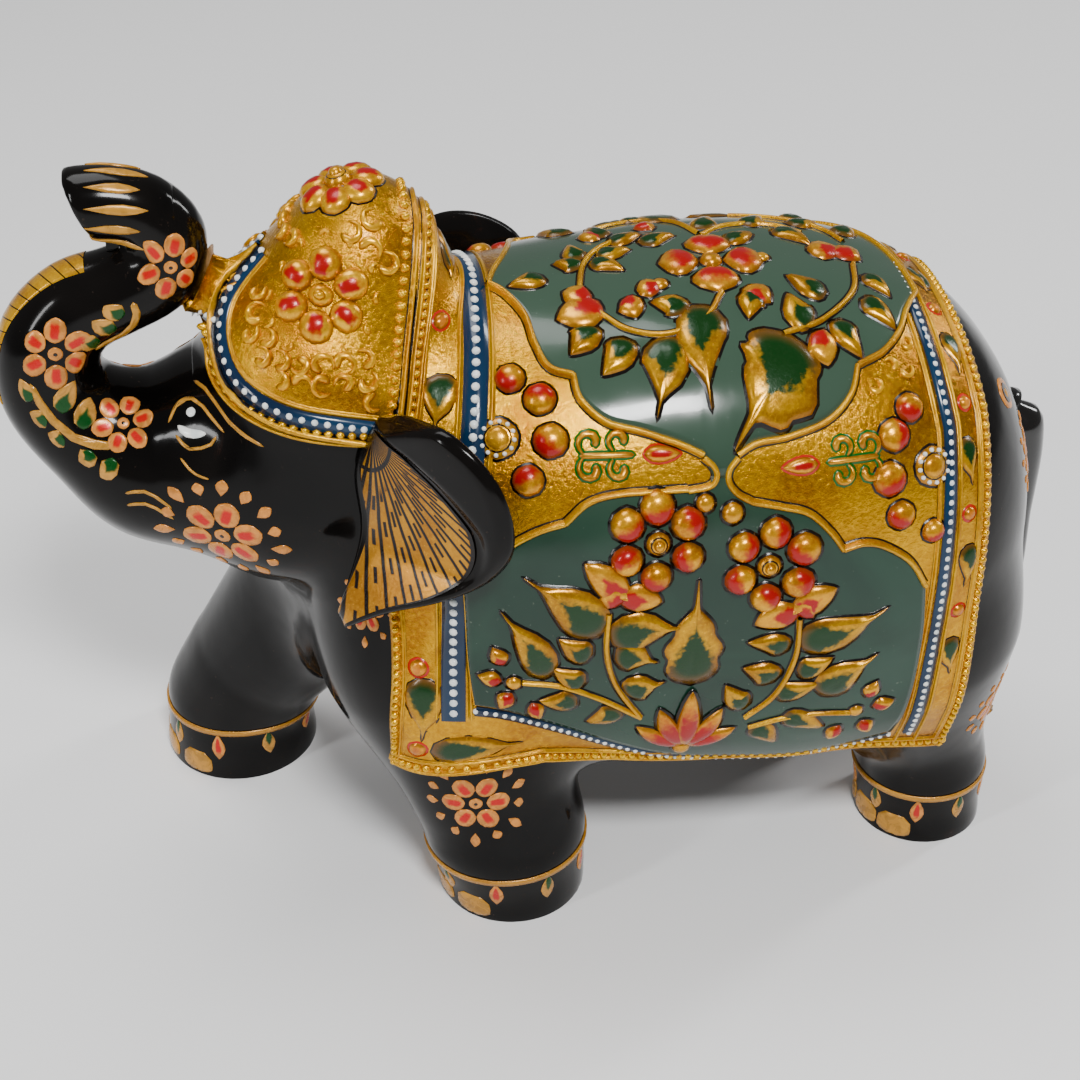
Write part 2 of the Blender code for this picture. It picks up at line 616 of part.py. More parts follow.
def make_caparison(carving, pockets):
    top = GLUE_GAP + CLOTH_THICKNESS
    panel_top = GLUE_GAP + PANEL_THICKNESS
    frame_top = GLUE_GAP + FRAME_THICKNESS
    high = SPINE + 14.0
    across = (1, -REACH, REACH)
    sides = {"left": (1, -REACH, -2.0), "right": (1, 2.0, REACH)}
    tunnel = box("belly_gap", (-200, -BELLY_GAP_HALF, -20), (200, BELLY_GAP_HALF, 58.0))
    spare = [tunnel, *pockets]

    half = np.array(SADDLE_HALF)
    saddle = np.concatenate([half, half[-2:0:-1] * (1, -1)])
    saddle = rounded(TORSO_MID[:2] + saddle * (TORSO_LENGTH / 2, FLANK), 1)
    upright = (2, SPINE - 40.0, SPINE + 20.0)
    saddle_room = prism("saddle_room", grown(saddle, GLUE_GAP), *upright)
    inner = grown(saddle, -FRAME_WIDTH - GLUE_GAP)
    coat("saddle_panel", (inner, *upright), carving, GLUE_GAP, panel_top, GREEN)
    inner = prism("saddle_inner", grown(saddle, -FRAME_WIDTH), *upright)
    coat("saddle_frame", (saddle, *upright), carving, GLUE_GAP, frame_top, GOLD, [inner])

    panel = np.array([at(s, t) for s, t in SIDE_PANEL])
    rooms = [saddle_room]
    for side, reach in sides.items():
        rooms.append(prism(f"side_room_{side}", grown(panel, GLUE_GAP), *reach))
        inner = prism(f"side_inner_{side}", grown(panel, -FRAME_WIDTH), *reach)
        coat(f"side_panel_{side}", (grown(panel, -FRAME_WIDTH - GLUE_GAP), *reach), carving,
             GLUE_GAP, panel_top, GREEN, spare)
        coat(f"side_frame_{side}", (panel, *reach), carving, GLUE_GAP, frame_top, GOLD, [inner, *spare])

    hem_top = HEM_WIDTH + GLUE_GAP
    band = standing_strip(cloth_front, SADDLE_FRONT_BAND, SADDLE_FRONT_BAND + BAND_WIDTH, 50.0, high)
    coat("front_band", (band, *across), carving, GLUE_GAP, panel_top, BLUE, spare)
    band_room = prism("front_band_room", grown(band, GLUE_GAP), *across)
    rear = standing_strip(cloth_rear, -BAND_WIDTH - 3.0, -3.0, 46.0, high)
    coat("rear_band", (rear, *across), carving, GLUE_GAP, panel_top, BLUE, spare)
    rear_room = prism("rear_band_room", grown(rear, GLUE_GAP), *across)

    right = REAR - CLOTH_REAR_INSET - 2.0
    for side, reach in sides.items():
        strip = lying_strip(FRONT - 3.8, right, 0.0, HEM_WIDTH)
        coat(f"hem_cord_{side}", (strip, *reach), carving, GLUE_GAP, frame_top, GOLD, spare)
    heights = np.linspace(CLOTH_FRONT_HEM + hem_top, high, 9)
    places = np.linspace(right, FRONT - 3.8, 9)
    edge = [(cloth_front(z), z) for z in heights]
    edge += [(cloth_rear(z), z) for z in np.linspace(high, CLOTH_REAR_HEM + hem_top, 9)]
    edge += [(x, hem_height(x) + hem_top) for x in places[1:-1]]
    coat("caparison", (edge, *across), carving, GLUE_GAP, top, GOLD, [*rooms, band_room, rear_room, *spare])


def make_relief(carving, pockets):
    """Flowers, leaves and bosses that stand on the panels and on the gold ground."""
    on_panel = PANEL_THICKNESS + 2 * GLUE_GAP
    on_gold = CLOTH_THICKNESS + 2 * GLUE_GAP
    upright = (2, SPINE - 40.0, SPINE + 20.0)
    blossom = lobed(TORSO_MID[:2], 11.0, 4, 0.3, phase=math.pi / 4)
    coat("saddle_blossom", (blossom, *upright), carving, on_panel, on_panel + RELIEF_THICKNESS, RED)
    leaf = rounded([at(-0.13, 0.28), at(-0.22, 0.1), at(-0.13, -0.06), at(-0.04, 0.1)])
    lotus = rounded([at(-0.3, -0.34), at(-0.13, -0.22), at(0.04, -0.34), at(-0.05, -0.48), at(-0.21, -0.48)])
    for side, reach in {"left": (1, -REACH, -2.0), "right": (1, 2.0, REACH)}.items():
        relief = {
            f"front_rosette_{side}": (lobed(at(-0.27, 0.34), 8.0, 6, 0.22), on_panel, RED),
            f"rear_rosette_{side}": (lobed(at(0.08, 0.27), 8.0, 6, 0.22), on_panel, RED),
            f"centre_leaf_{side}": (leaf, on_panel, GOLD),
            f"lotus_{side}": (lotus, on_panel, RED),
            f"front_boss_{side}": (lobed(at(-0.58, 0.7), 3.0, 1, 0.0, 14), on_gold, RED),
            f"rear_boss_{side}": (lobed(at(0.5, 0.62), 3.4, 1, 0.0, 14), on_gold, RED),
        }
        for name, (outline, level, look) in relief.items():
            coat(name, (outline, *reach), carving, level, level + RELIEF_THICKNESS, look, pockets)


CAP_EDGE = ((14.0, -1.5), (3.0, -0.8), (-6.0, 1.2), (-13.0, 3.4),
            (-17.6, 7.4), (-19.4, 12.0), (-19.0, 17.0), (-17.0, 22.0))
CAP_TRIM_WIDTH = 2.0
CAP_BAND_WIDTH = 3.4


def cap_outline(lower, upper=None):
    """A strip over the cap's lower edge between two widths, or all above the first one."""
    edge = curve([(SKULL[0] + x, SKULL[2] + z) for x, z in CAP_EDGE], 12)
    way = np.gradient(edge, axis=0)
    way /= np.linalg.norm(way, axis=1)[:, None]
    up = np.stack([way[:, 1], -way[:, 0]], 1)
    first = edge + up * lower
    if upper is None:
        behind, over = SKULL[0] + 40.0, SKULL[2] + 45.0
        crown = [(SKULL[0] - 10.0, over), (behind, over), (behind, first[0, 1])]
        return np.concatenate([first, crown])
    return np.concatenate([first, (edge + up * upper)[::-1]])


def make_cap(carving, pockets):
    across = (1, -REACH, REACH)
    top = GLUE_GAP + CLOTH_THICKNESS
    behind = standing_strip(cloth_front, -GLUE_GAP, 60.0, SKULL[2] - 40.0, SKULL[2] + 60.0)
    rear = prism("cap_rear_cut", behind, *across)
    spare = [rear, *pockets]
    band_start = CAP_TRIM_WIDTH + GLUE_GAP
    band_end = band_start + CAP_BAND_WIDTH
    coat("cap_trim", (cap_outline(0.0, CAP_TRIM_WIDTH), *across), carving, GLUE_GAP, top, GOLD, spare)
    band = cap_outline(band_start, band_end)
    coat("cap_band", (band, *across), carving, GLUE_GAP, GLUE_GAP + PANEL_THICKNESS, BLUE, spare)
    coat("head_cap", (cap_outline(band_end + GLUE_GAP), *across), carving, GLUE_GAP, top, GOLD, spare)
    low = top + GLUE_GAP
    high = low + RELIEF_THICKNESS
    crown = lobed((SKULL[0] + 7.0, 0.0), 7.0, 6, 0.2)
    coat("crown_rosette", (crown, 2, SKULL[2] + 20.0, SKULL[2] + 60.0), carving, low, high, RED)
    flower = lobed((SKULL[0] + 1.0, SKULL[2] + 21.0), 6.4, 6, 0.2)
    coat("cap_rosette_left", (flower, 1, -REACH, -1.0), carving, low, high, RED)
    coat("cap_rosette_right", (flower, 1, 1.0, REACH), carving, low, high, RED)
    eye = lobed((SKULL[0] - 21.5, SKULL[2] - 3.0), 2.6, 2, 0.3, 16)
    coat("eye_left", (eye, 1, -REACH, -1.0), carving, GLUE_GAP, top, WHITE)
    coat("eye_right", (eye, 1, 1.0, REACH), carving, GLUE_GAP, top, WHITE)


def make_anklets(carving):
    for name, leg in LEGS.items():
        x, y, _ = leg["sole"]
        ring = lobed((x, y), leg["radii"][2] + 3.4, 1, 0.0, 16)
        reach = (2, ANKLET_HEIGHT, ANKLET_HEIGHT + ANKLET_WIDTH)
        coat(f"anklet_{name}", (ring, *reach), carving, GLUE_GAP, GLUE_GAP + CLOTH_THICKNESS, GOLD)


def stand_on_origin():
    """Moves everything so that the whole object's box has its bottom centre at the origin."""
    bpy.context.view_layer.update()
    graph = bpy.context.evaluated_depsgraph_get()
    corners = []
    for piece in filter(lambda child: not child.hide_render, STAND.children):
        evaluated = piece.evaluated_get(graph)
        corners += [evaluated.matrix_world @ v.co for v in evaluated.to_mesh().vertices]
        evaluated.to_mesh_clear()
    points = np.array(corners)
    middle = (points.min(0) + points.max(0)) / 2
    STAND.location = (-middle[0], -middle[1], -points[:, 2].min())


for old in list(bpy.data.objects):
    bpy.data.objects.remove(old)
STAND = bpy.data.objects.new("elephant", None)
bpy.context.scene.collection.objects.link(STAND)


def main():
    carving = Carving()
    body = make_body(carving)
    make_trunk(body)
    pockets = [
        make_ear("ear_left", EAR_RIM_LEFT, -1, body, carving),
        make_ear("ear_right", EAR_RIM_RIGHT, 1, body, carving),
    ]
    make_tail(body, carving)
    make_caparison(carving, pockets)
    make_relief(carving, pockets)
    make_cap(carving, pockets)
    make_anklets(carving)
    stand_on_origin()


main()
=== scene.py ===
"""Looks of the carved, lacquered and gilded elephant, laid over its CAD pieces.

The wood is one carved shape, worked out as a distance to blended masses. Every painted or raised
piece is a numpy grid laid on that shape at its own height. Design sizes are in millimetres from
the carver's own axes: the head points to -X, the elephant's left flank to -Y, and the soles rest
on Z = 0.
"""

import math

import bmesh
import bpy
import numpy as np
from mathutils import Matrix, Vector


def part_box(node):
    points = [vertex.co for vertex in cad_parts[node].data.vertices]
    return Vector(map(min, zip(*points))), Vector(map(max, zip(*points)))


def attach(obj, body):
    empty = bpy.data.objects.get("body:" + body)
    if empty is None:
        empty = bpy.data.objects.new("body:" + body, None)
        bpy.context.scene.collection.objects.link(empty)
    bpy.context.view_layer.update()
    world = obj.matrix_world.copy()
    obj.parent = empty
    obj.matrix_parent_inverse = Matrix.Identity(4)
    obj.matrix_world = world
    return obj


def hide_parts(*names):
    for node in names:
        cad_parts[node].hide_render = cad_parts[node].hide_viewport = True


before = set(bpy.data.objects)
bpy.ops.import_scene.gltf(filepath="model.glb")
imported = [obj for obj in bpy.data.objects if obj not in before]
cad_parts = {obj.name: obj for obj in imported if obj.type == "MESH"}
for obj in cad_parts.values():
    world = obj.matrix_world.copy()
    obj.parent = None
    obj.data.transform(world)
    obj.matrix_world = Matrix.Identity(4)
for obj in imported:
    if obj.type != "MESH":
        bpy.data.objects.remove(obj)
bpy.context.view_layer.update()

MM = 0.001
LEFT, RIGHT = -1, 1
SIDES = {"left": LEFT, "right": RIGHT}

# Places of the carver's masses, in millimetres.
TORSO_MID = np.array((30.0, 0.0, 73.5))
TORSO_HALF = np.array((60.0, 43.0, 52.7))
REAR = 90.0
SKULL = np.array((-41.0, 0.0, 111.0))
FACE_X = -64.0
LEGS = {
    "front_left": ((-20.5, -18, 52), (-12.5, -25, 18), (-9.5, -25, 0), 20.5, 15.0, 15.0),
    "front_right": ((-36, 16, 58), (-58, 25, 24), (-64, 27, 0), 20.0, 15.5, 16.5),
    "hind_left": ((73, -17, 50), (79, -15.5, 16), (80, -16, 0), 20.0, 12.5, 13.5),
    "hind_right": ((64, 20, 50), (64, 20, 14), (64, 20, 0), 19.0, 12.5, 13.5),
}
TRUNK_LINE = (
    (-23, -17), (-27, -17.5), (-35, -15.2), (-43.2, -9), (-48.3, -1), (-47.6, 8.3), (-42.2, 14.6),
    (-34.6, 17.5), (-27.6, 21), (-25, 27.6), (-28.6, 32.6), (-34, 34.4), (-38.8, 34.6), (-42, 34.7),
)
TRUNK_RADII = (17.2, 16.2, 13.7, 11.4, 10, 9.2, 8.6, 8, 7.6, 7, 6.7, 6.6, 6.6, 6.4)
TIP_CUT = (np.array((-80.4, 0.0, 145.6)), np.array((-0.93, 0.0, -0.36)))

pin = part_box("trunk_dowel")
SHIFT = (np.array(pin[0]) + np.array(pin[1])) / 2 / MM - (FACE_X, 0.0, SKULL[2] - 17.0)


# ---------------------------------------------------------------- the carved shape

def ellipsoid(points, centre, half, squareness):
    """Distance to a rounded box: the power mean of the shares of its half sizes, less one, over
    its slope."""
    share = np.abs((points - centre) / half) + 1e-5
    size = (share ** squareness).sum(1) ** (1 / squareness)
    slope = np.sqrt(((share ** (squareness - 1) / half) ** 2).sum(1))
    return (size - 1) * size ** (squareness - 1) / slope


def bone(points, start, end, first, last):
    """Distance to a round cone: to the nearest point of a line, less the radius there."""
    start = np.array(start, float)
    run = np.array(end, float) - start
    along = np.clip((points - start) @ run / (run @ run), 0, 1)
    return np.linalg.norm(points - start - along[:, None] * run,
            axis=1) - (first + (last - first) * along)


def smooth_union(a, b, fillet):
    """Smaller of two distances, rounded by a parabola where they are nearly equal."""
    mix = np.clip(0.5 + 0.5 * (b - a) / fillet, 0, 1)
    return b + (a - b) * mix - fillet * mix * (1 - mix)


def curve(points, count):
    """Catmull-Rom curve through the points, read at even steps of its length."""
    points = np.asarray(points, float)
    ends = np.vstack([2 * points[0] - points[1], points, 2 * points[-1] - points[-2]])
    spots = np.linspace(0, len(points) - 1, 24 * len(points))
    index = np.minimum(spots.astype(int), len(points) - 2)
    t = (spots - index)[:, None]
    a, b, c, d = (ends[index + i] for i in range(4))
    line = 0.5 * (2 * b + (c - a) * t + (2 * a - 5 * b + 4 * c - d) * t ** 2
            + (3 * b - a - 3 * c + d) * t ** 3)
    run = np.r_[0, np.cumsum(np.linalg.norm(np.diff(line, axis=0), axis=1))]
    even = np.linspace(0, run[-1], count)
    return np.stack([np.interp(even, run, line[:, i]) for i in range(line.shape[1])], 1)


TRUNK = curve([(SKULL[0] + x, 0, SKULL[2] + z, 4 * r) for (x, z),
        r in zip(TRUNK_LINE, TRUNK_RADII)], 64)
TRUNK[:, 3] /= 4


def masses():
    """The carver's masses, each with the fillet that joins it to the ones before."""
    found = [(ellipsoid, (TORSO_MID, TORSO_HALF, 2.5), 10),
        (ellipsoid, ((-6, 0, 77), (33, 39, 42), 2.3), 12),
        (ellipsoid, ((58, 0, 70), (36.5, 40.5, 46), 2.3), 12),
        (ellipsoid, ((-24, 0, 60), (24, 31, 35), 2.0), 10),
        (bone, ((0, 0, 94), (-30, 0, 104), 25, 23), 12), (ellipsoid, (SKULL, (21.5, 24, 24), 2.0), 8),
        (ellipsoid, (SKULL + (8.5, 0, 19), (14, 14, 16.5), 2.0), 8),
        (ellipsoid, (SKULL + (-7, 0, -21), (22, 24, 23), 2.0), 8),
        (bone, (SKULL + (-13, 0, -16), SKULL + (-31, 0, -18), 20, 15), 8),
    ]
    for hip, ankle, sole, thigh, shin, foot in LEGS.values():
        found.append((bone, (hip, ankle, thigh, shin), 12))
        found.append((bone, ((*sole[:2], 12), sole, shin, foot), 6))
    return [(kind, tuple(np.array(v, float) if np.ndim(v) else v for v in sizes), fillet) for kind,
            sizes, fillet in found]


MASSES = masses()


def carved(points):
    """Distance to the whole carving: masses blended in turn, the trunk's round cones, and the
    trunk's flat tip."""
    total = None
    for kind, sizes, fillet in MASSES:
        here = kind(points, *sizes)
        total = here if total is None else smooth_union(total, here, fillet)
    total = -smooth_union(-total, points[:, 2] + 4, 4)
    near = (points[:, 0] < -48) & (np.abs(points[:, 1]) < 30) & (points[:, 2] > 60)
    if near.any():
        close = points[near]
        trunk = np.full(len(close), 1e3)
        for a, b in zip(TRUNK[:-1], TRUNK[1:]):
            trunk = np.minimum(trunk, bone(close, a[:3], b[:3], a[3], b[3]))
        cut = (close - TIP_CUT[0]) @ TIP_CUT[1]
        tip = close[:, 2] > 138
        trunk = np.where(tip, -smooth_union(-trunk, -cut, 1.2), trunk)
        total[near] = smooth_union(total[near], trunk, 6)
    return total


class Lattice:
    """Distances kept at even steps, and read between them by sharing the eight nearest."""

    def __init__(self, formula, low, high, pitch):
        axes = [np.arange(a, b + pitch, pitch) for a, b in zip(low, high)]
        self.low, self.pitch = np.array(low, float), pitch
        self.top = np.array([len(axis) for axis in axes]) - 1.001
        y, z = (side.ravel() for side in np.meshgrid(axes[1], axes[2], indexing="ij"))
        layers = [formula(np.stack([np.full(y.size, x), y, z], 1)) for x in axes[0]]
        self.values = np.array(layers, np.float32).reshape([len(axis) for axis in axes])
        self.axes = axes

    def distance(self, points):
        """Distance at each point: the sum of its cell's eight corners, each times its share."""
        spot = np.clip((points - self.low) / self.pitch, 0, self.top)
        cell = spot.astype(int)
        share = spot - cell
        i, j, k = cell.T
        u, v, w = share.T
        found = 0
        for di, wu in ((0, 1 - u), (1, u)):
            for dj, wv in ((0, 1 - v), (1, v)):
                low, high = self.values[i + di, j + dj, k], self.values[i + di, j + dj, k + 1]
                found = found + wu * wv * (low * (1 - w) + high * w)
        return found

    def slope(self, points):
        """Unit direction in which the distance grows, from central differences."""
        step = self.pitch
        sides = [self.distance(points + step * axis) - self.distance(points - step * axis)
                for axis in np.eye(3)]
        found = np.stack(sides, 1)
        return found / (np.linalg.norm(found, axis=1)[:, None] + 1e-9)

    def settled(self, points, level=0.0, rounds=3):
        """Points walked along the slope until they lie at their level outside the surface."""
        points = np.array(points, float)
        for _ in range(rounds):
            points -= self.slope(points) * (self.distance(points) - level)[:, None]
        return points


BODY = Lattice(carved, (-112, -56, -8), (108, 56, 160), 1.25)


def column_map(axis):
    """How far out along an axis the carving reaches, for each pair of the other two: its last
    inward crossing."""
    values = np.moveaxis(BODY.values, axis, 2)
    places = BODY.axes[axis]
    inside = values < 0
    last = inside.shape[2] - 1 - np.argmax(inside[:, :, ::-1], axis=2)
    last = np.clip(last, 0, inside.shape[2] - 2)
    low = np.take_along_axis(values, last[:, :, None], 2)[:, :, 0]
    high = np.take_along_axis(values, last[:, :, None] + 1, 2)[:, :, 0]
    reach = places[last] + BODY.pitch * np.clip(-low / (high - low + 1e-9), 0, 1)
    reach[~inside.any(2)] = 0.0
    return reach


def read_map(table, axes, a, b):
    """A table on two even axes, read between its entries."""
    spots = []
    for value, axis in ((a, axes[0]), (b, axes[1])):
        spot = np.clip((value - axis[0]) / BODY.pitch, 0, len(axis) - 1.001)
        spots.append((spot.astype(int), spot - spot.astype(int)))
    (i, u), (j, v) = spots
    return ((1 - u) * (1 - v) * table[i, j] + u * (1 - v) * table[i + 1, j]
            + (1 - u) * v * table[i, j + 1] + u * v * table[i + 1, j + 1])


TOP_MAP = column_map(2)
SIDE_MAP = column_map(1)


def top(a, b):
    """Plan chart: lengthwise and crosswise places to points on the back."""
    return np.stack([a, b, read_map(TOP_MAP, (BODY.axes[0], BODY.axes[1]), a, b)], -1)


def flank(side):
    """Side chart of one flank: lengthwise place and height to points on that flank."""
    def chart(a, b):
        return np.stack([a, side * read_map(SIDE_MAP, (BODY.axes[0], BODY.axes[2]), a, b), b], -1)
    return chart


def spot(place, up, side=LEFT):
    """Tangent chart at a place: crosswise to the right of up, and along up, both in the surface
    there."""
    centre = np.array(place, float) * (1, -side, 1)
    centre = BODY.settled(centre[None])[0]
    normal = BODY.slope(centre[None])[0]
    up = np.array(up, float) * (1, -side, 1)
    up = up - normal * (up @ normal)
    up /= np.linalg.norm(up)
    right = np.cross(up, normal) * (-side)

    def chart(a, b):
        return centre + np.asarray(a)[..., None] * right + np.asarray(b)[..., None] * up
    return chart


# ---------------------------------------------------------------- laying pieces on the carving

# Thicknesses, and the level of an edge that turns down into whatever lies below it.
CLOTH, PANEL = 1.0, 0.75
SUNK = -0.3
MERGE_PER_MM = 2000


def linked(name, mesh, replaced=()):
    """A mesh as an object of the one body and the pieces that it stands for."""
    made = bpy.data.objects.new(name, mesh)
    bpy.context.scene.collection.objects.link(made)
    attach(made, "root")
    if replaced:
        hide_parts(*replaced)
    return made


def outward(mesh):
    """Turns the faces of a closed mesh to look outwards."""
    bm = bmesh.new()
    bm.from_mesh(mesh)
    bmesh.ops.recalc_face_normals(bm, faces=bm.faces)
    bm.to_mesh(mesh)
    bm.free()


def make_piece(name, points, faces, finish, replaced=(), marks=None):
    """One mesh piece from millimetre points and quads. Coincident points are merged, a quad with
    one collapsed side becomes a triangle, and flatter ones are dropped."""
    points = np.asarray(points, float).reshape(-1, 3)
    keys = np.round(points * MERGE_PER_MM).astype(np.int64)
    _, first, index = np.unique(keys, axis=0, return_index=True, return_inverse=True)
    faces = index.reshape(-1)[np.asarray(faces)]
    same = faces == np.roll(faces, 1, axis=1)
    whole = faces[same.sum(1) == 0]
    whole = whole[(whole[:, 0] != whole[:, 2]) & (whole[:, 1] != whole[:, 3])]
    folded = same.sum(1) == 1
    thirds = faces[folded][~same[folded]].reshape(-1, 3)
    mesh = bpy.data.meshes.new(name)
    mesh.from_pydata(((points[first] + SHIFT) * MM).tolist(), [], whole.tolist() + thirds.tolist())
    mesh.validate()
    mesh.shade_smooth()
    for key, values in (marks or {}).items():
        layer = mesh.attributes.new(key, "FLOAT", "POINT")
        layer.data.foreach_set("value", np.asarray(values, np.float32).reshape(-1)[first])
    mesh.materials.append(finish)
    return linked(name, mesh, replaced)


def grid_faces(rows, columns, wrap_rows=False, wrap_columns=False):
    """Quads between neighbours of a grid of points, closed on themselves where asked."""
    index = np.arange(rows * columns).reshape(rows, columns)
    if wrap_rows:
        index = np.vstack([index, index[:1]])
    if wrap_columns:
        index = np.hstack([index, index[:, :1]])
    return np.stack([index[:-1, :-1], index[1:, :-1], index[1:, 1:], index[:-1, 1:]], -1).reshape(-1, 4)


class Relief:
    """Raised strokes gathered first, then laid on the carving together as one piece.

    A stroke is a disc bent along its own line: its width at each place along comes from a
    profile, its height falls from the middle to the rim as a rounded dome, and a flat dark skirt
    may surround it.
    """

    RINGS = (0.0, 0.5, 0.82, 1.0)

    def __init__(self, base, skirt=0.52):
        self.base, self.skirt = base, skirt
        self.points, self.levels, self.faces = [], [], []
        self.marks = {"reach": [], "along": [], "across": [], "wash": [], "tone": []}
        self.count = 0

    def stroke(self, chart, line, widths, height, around=14, wash=0.0, tone=None, power=0.5,
            groove=0.0, base=0.0):
        """Lays one stroke: line is its axis in the chart, widths the half widths along it."""
        line = curve(line, 24) if len(line) > 2 else np.linspace(line[0], line[-1], 24)
        spots = np.linspace(0, 1, 24)
        wide = np.interp(spots, np.linspace(0, 1, len(widths)), widths)
        way = np.gradient(line, axis=0)
        way /= np.linalg.norm(way, axis=1)[:, None] + 1e-9
        angle = np.linspace(0, 2 * math.pi, around, endpoint=False)
        rings = np.array(self.RINGS)[:, None]
        x, y = -rings * np.cos(angle), rings * np.sin(angle)
        chord = np.sqrt(np.maximum(1 - x ** 2, 1e-6))
        along, across = (x + 1) / 2, np.where(np.abs(x) > 0.999, 0, y / chord)

        def place(along, across):
            half = np.interp(along, spots, wide)
            a = np.interp(along, spots, line[:, 0]) - np.interp(along, spots, way[:, 1]) * across * half
            b = np.interp(along, spots, line[:, 1]) + np.interp(along, spots, way[:, 0]) * across * half
            return np.stack([a, b], -1)

        spread = place(along, across)
        level = height * (1 - rings ** 2) ** power * np.ones_like(x)
        level -= groove * height * np.exp(-(across / 0.18) ** 2) * (rings < 0.9) * (rings > 0)
        level[-1] = 0.12 * height
        rim = spread[-1]
        out = np.roll(rim, -1, 0) - np.roll(rim, 1, 0)
        out = np.stack([out[:, 1], -out[:, 0]], 1)
        out /= np.linalg.norm(out, axis=1)[:, None] + 1e-9
        turn = np.sign((rim[:, 0] * np.roll(rim[:, 1], -1) - rim[:, 1]
                * np.roll(rim[:, 0], -1)).sum()) or 1.0
        out *= turn
        if self.skirt > 0:
            extra = np.stack([rim + out * 0.05, rim + out * self.skirt,
                    rim + out * (self.skirt + 0.06)])
            lows = np.array((0.03, 0.03, -0.25))
            reaches = np.array((1.2, 1.6, 1.6))
        else:
            extra = (rim + out * 0.03)[None]
            lows = np.array((-0.25,))
            reaches = np.array((1.0,))
        spread = np.concatenate([spread, extra])
        level = np.concatenate([level, np.tile(lows[:, None], (1, around))])
        reach = np.concatenate([rings * np.ones_like(x), np.tile(reaches[:, None], (1, around))])
        rows = len(spread)
        along = np.concatenate([along, np.tile(along[3:4], (rows - 4, 1))])
        across = np.concatenate([across, np.tile(across[3:4], (rows - 4, 1))])
        if tone is None:
            tone = (math.sin(12.9898 * line[5, 0] + 78.233 * line[5, 1]) * 43758.5453) % 1.0
        self.add(chart(spread[..., 0], spread[..., 1]).reshape(-1, 3),
                level.reshape(-1) + self.base + base, grid_faces(rows, around, wrap_columns=True),
                dict(reach=reach, along=along, across=across, wash=np.full(reach.shape, wash),
                tone=np.full(reach.shape, tone)))

    def add(self, starts, levels, faces, marks):
        """Gathers points, their levels, their faces and their marks."""
        self.points.append(starts)
        self.levels.append(levels)
        self.faces.append(faces + self.count)
        for key, values in marks.items():
            self.marks[key].append(np.asarray(values, float).reshape(-1))
        self.count += len(starts)

    def disc(self, chart, centre, radius, height, **more):
        """A round boss: a straight stroke as long as it is wide."""
        a, b = centre
        self.stroke(chart, [(a, b - radius), (a, b + radius)], radius * ROUND, height, **more)

    def petal(self, chart, centre, angle, near, far, width, height, **more):
        """A petal that points away from a centre, between two distances from it."""
        way = np.array((math.sin(angle), math.cos(angle)))
        line = [np.array(centre) + way * near, np.array(centre) + way * far]
        self.stroke(chart, line, width * more.pop("shape", PETAL), height, **more)

    def lay(self, name, finish, slot, replaced=()):
        points = BODY.settled(np.concatenate(self.points), np.concatenate(self.levels), 3)
        marks = {key: np.concatenate(values) for key, values in self.marks.items()}
        made = make_piece(name, points, np.concatenate(self.faces), finish, replaced, marks)
        return shells_out(made)


def shells_out(made):
    """Turns each face whose middle looks into the wood, for pieces that lie open on it."""
    mesh = made.data
    count = len(mesh.polygons)
    centres = np.empty(count * 3)
    normals = np.empty(count * 3)
    mesh.polygons.foreach_get("center", centres)
    mesh.polygons.foreach_get("normal", normals)
    centres = centres.reshape(-1, 3) / MM - SHIFT
    ways = (BODY.slope(centres) * normals.reshape(-1, 3)).sum(1)
    wrong = np.nonzero(ways < -0.2)[0]
    if len(wrong):
        bm = bmesh.new()
        bm.from_mesh(mesh)
        bm.faces.ensure_lookup_table()
        seen = set()
        for seed in wrong.tolist():
            if seed in seen:
                continue
            group, stack = [], [seed]
            seen.add(seed)
            while stack:
                face = bm.faces[stack.pop()]
                group.append(face)
                for edge in face.edges:
                    for other in edge.link_faces:
                        if other.index not in seen:
                            seen.add(other.index)
                            stack.append(other.index)
            bad = sum(ways[face.index] for face in group)
            if bad < 0:
                bmesh.ops.reverse_faces(bm, faces=group)
        bm.to_mesh(mesh)
        bm.free()
    return made


SPREAD = np.linspace(0, 1, 13)
ROUND = np.sqrt(np.maximum(1 - (2 * SPREAD - 1) ** 2, 0))
PETAL = np.sin(math.pi * SPREAD ** 0.75) ** 0.7
DROP = np.sin(math.pi * SPREAD ** 1.25) ** 0.9
LEAF = np.sin(math.pi * SPREAD ** 0.62) ** 0.8 * (1 - 0.35 * SPREAD)
FINE = np.linspace(0, 1, 73)
LOBED = (np.sin(math.pi * np.clip(FINE * 1.35, 0, 1) ** 0.8) ** 0.75
        * (0.74 + 0.30 * np.abs(np.sin(4.1 * math.pi * FINE)))
        + 0.30 * np.clip(1 - FINE, 0, 1) ** 0.8 * (FINE > 0.03))
HOOK = (np.sin(math.pi * np.clip(FINE * 1.3, 0, 1) ** 0.75) ** 0.75
        + 0.2 * np.clip(1 - FINE, 0, 1) ** 0.7 * (FINE > 0.03))
FLAT_STROKE = np.r_[0.55, np.ones(11), 0.45]


def strip(path, across, heights):
    """A profile carried along a path on the carving: sideways places, and heights over it, at
    each point."""
    path = BODY.settled(path, 0.5)
    way = np.gradient(path, axis=0)
    side = np.cross(BODY.slope(path), way)
    side /= np.linalg.norm(side, axis=1)[:, None] + 1e-9
    across = np.tile(np.asarray(across, float), (len(path), 1))
    points = path[:, None] + side[:, None] * across[..., None]
    levels = np.broadcast_to(np.asarray(heights, float), across.shape)
    points = BODY.settled(points.reshape(-1, 3), levels.reshape(-1))
    run = np.r_[0, np.cumsum(np.linalg.norm(np.diff(path, axis=0), axis=1))]
    marks = {"run": np.repeat(run, across.shape[1]), "across": across.reshape(-1)}
    return points, marks


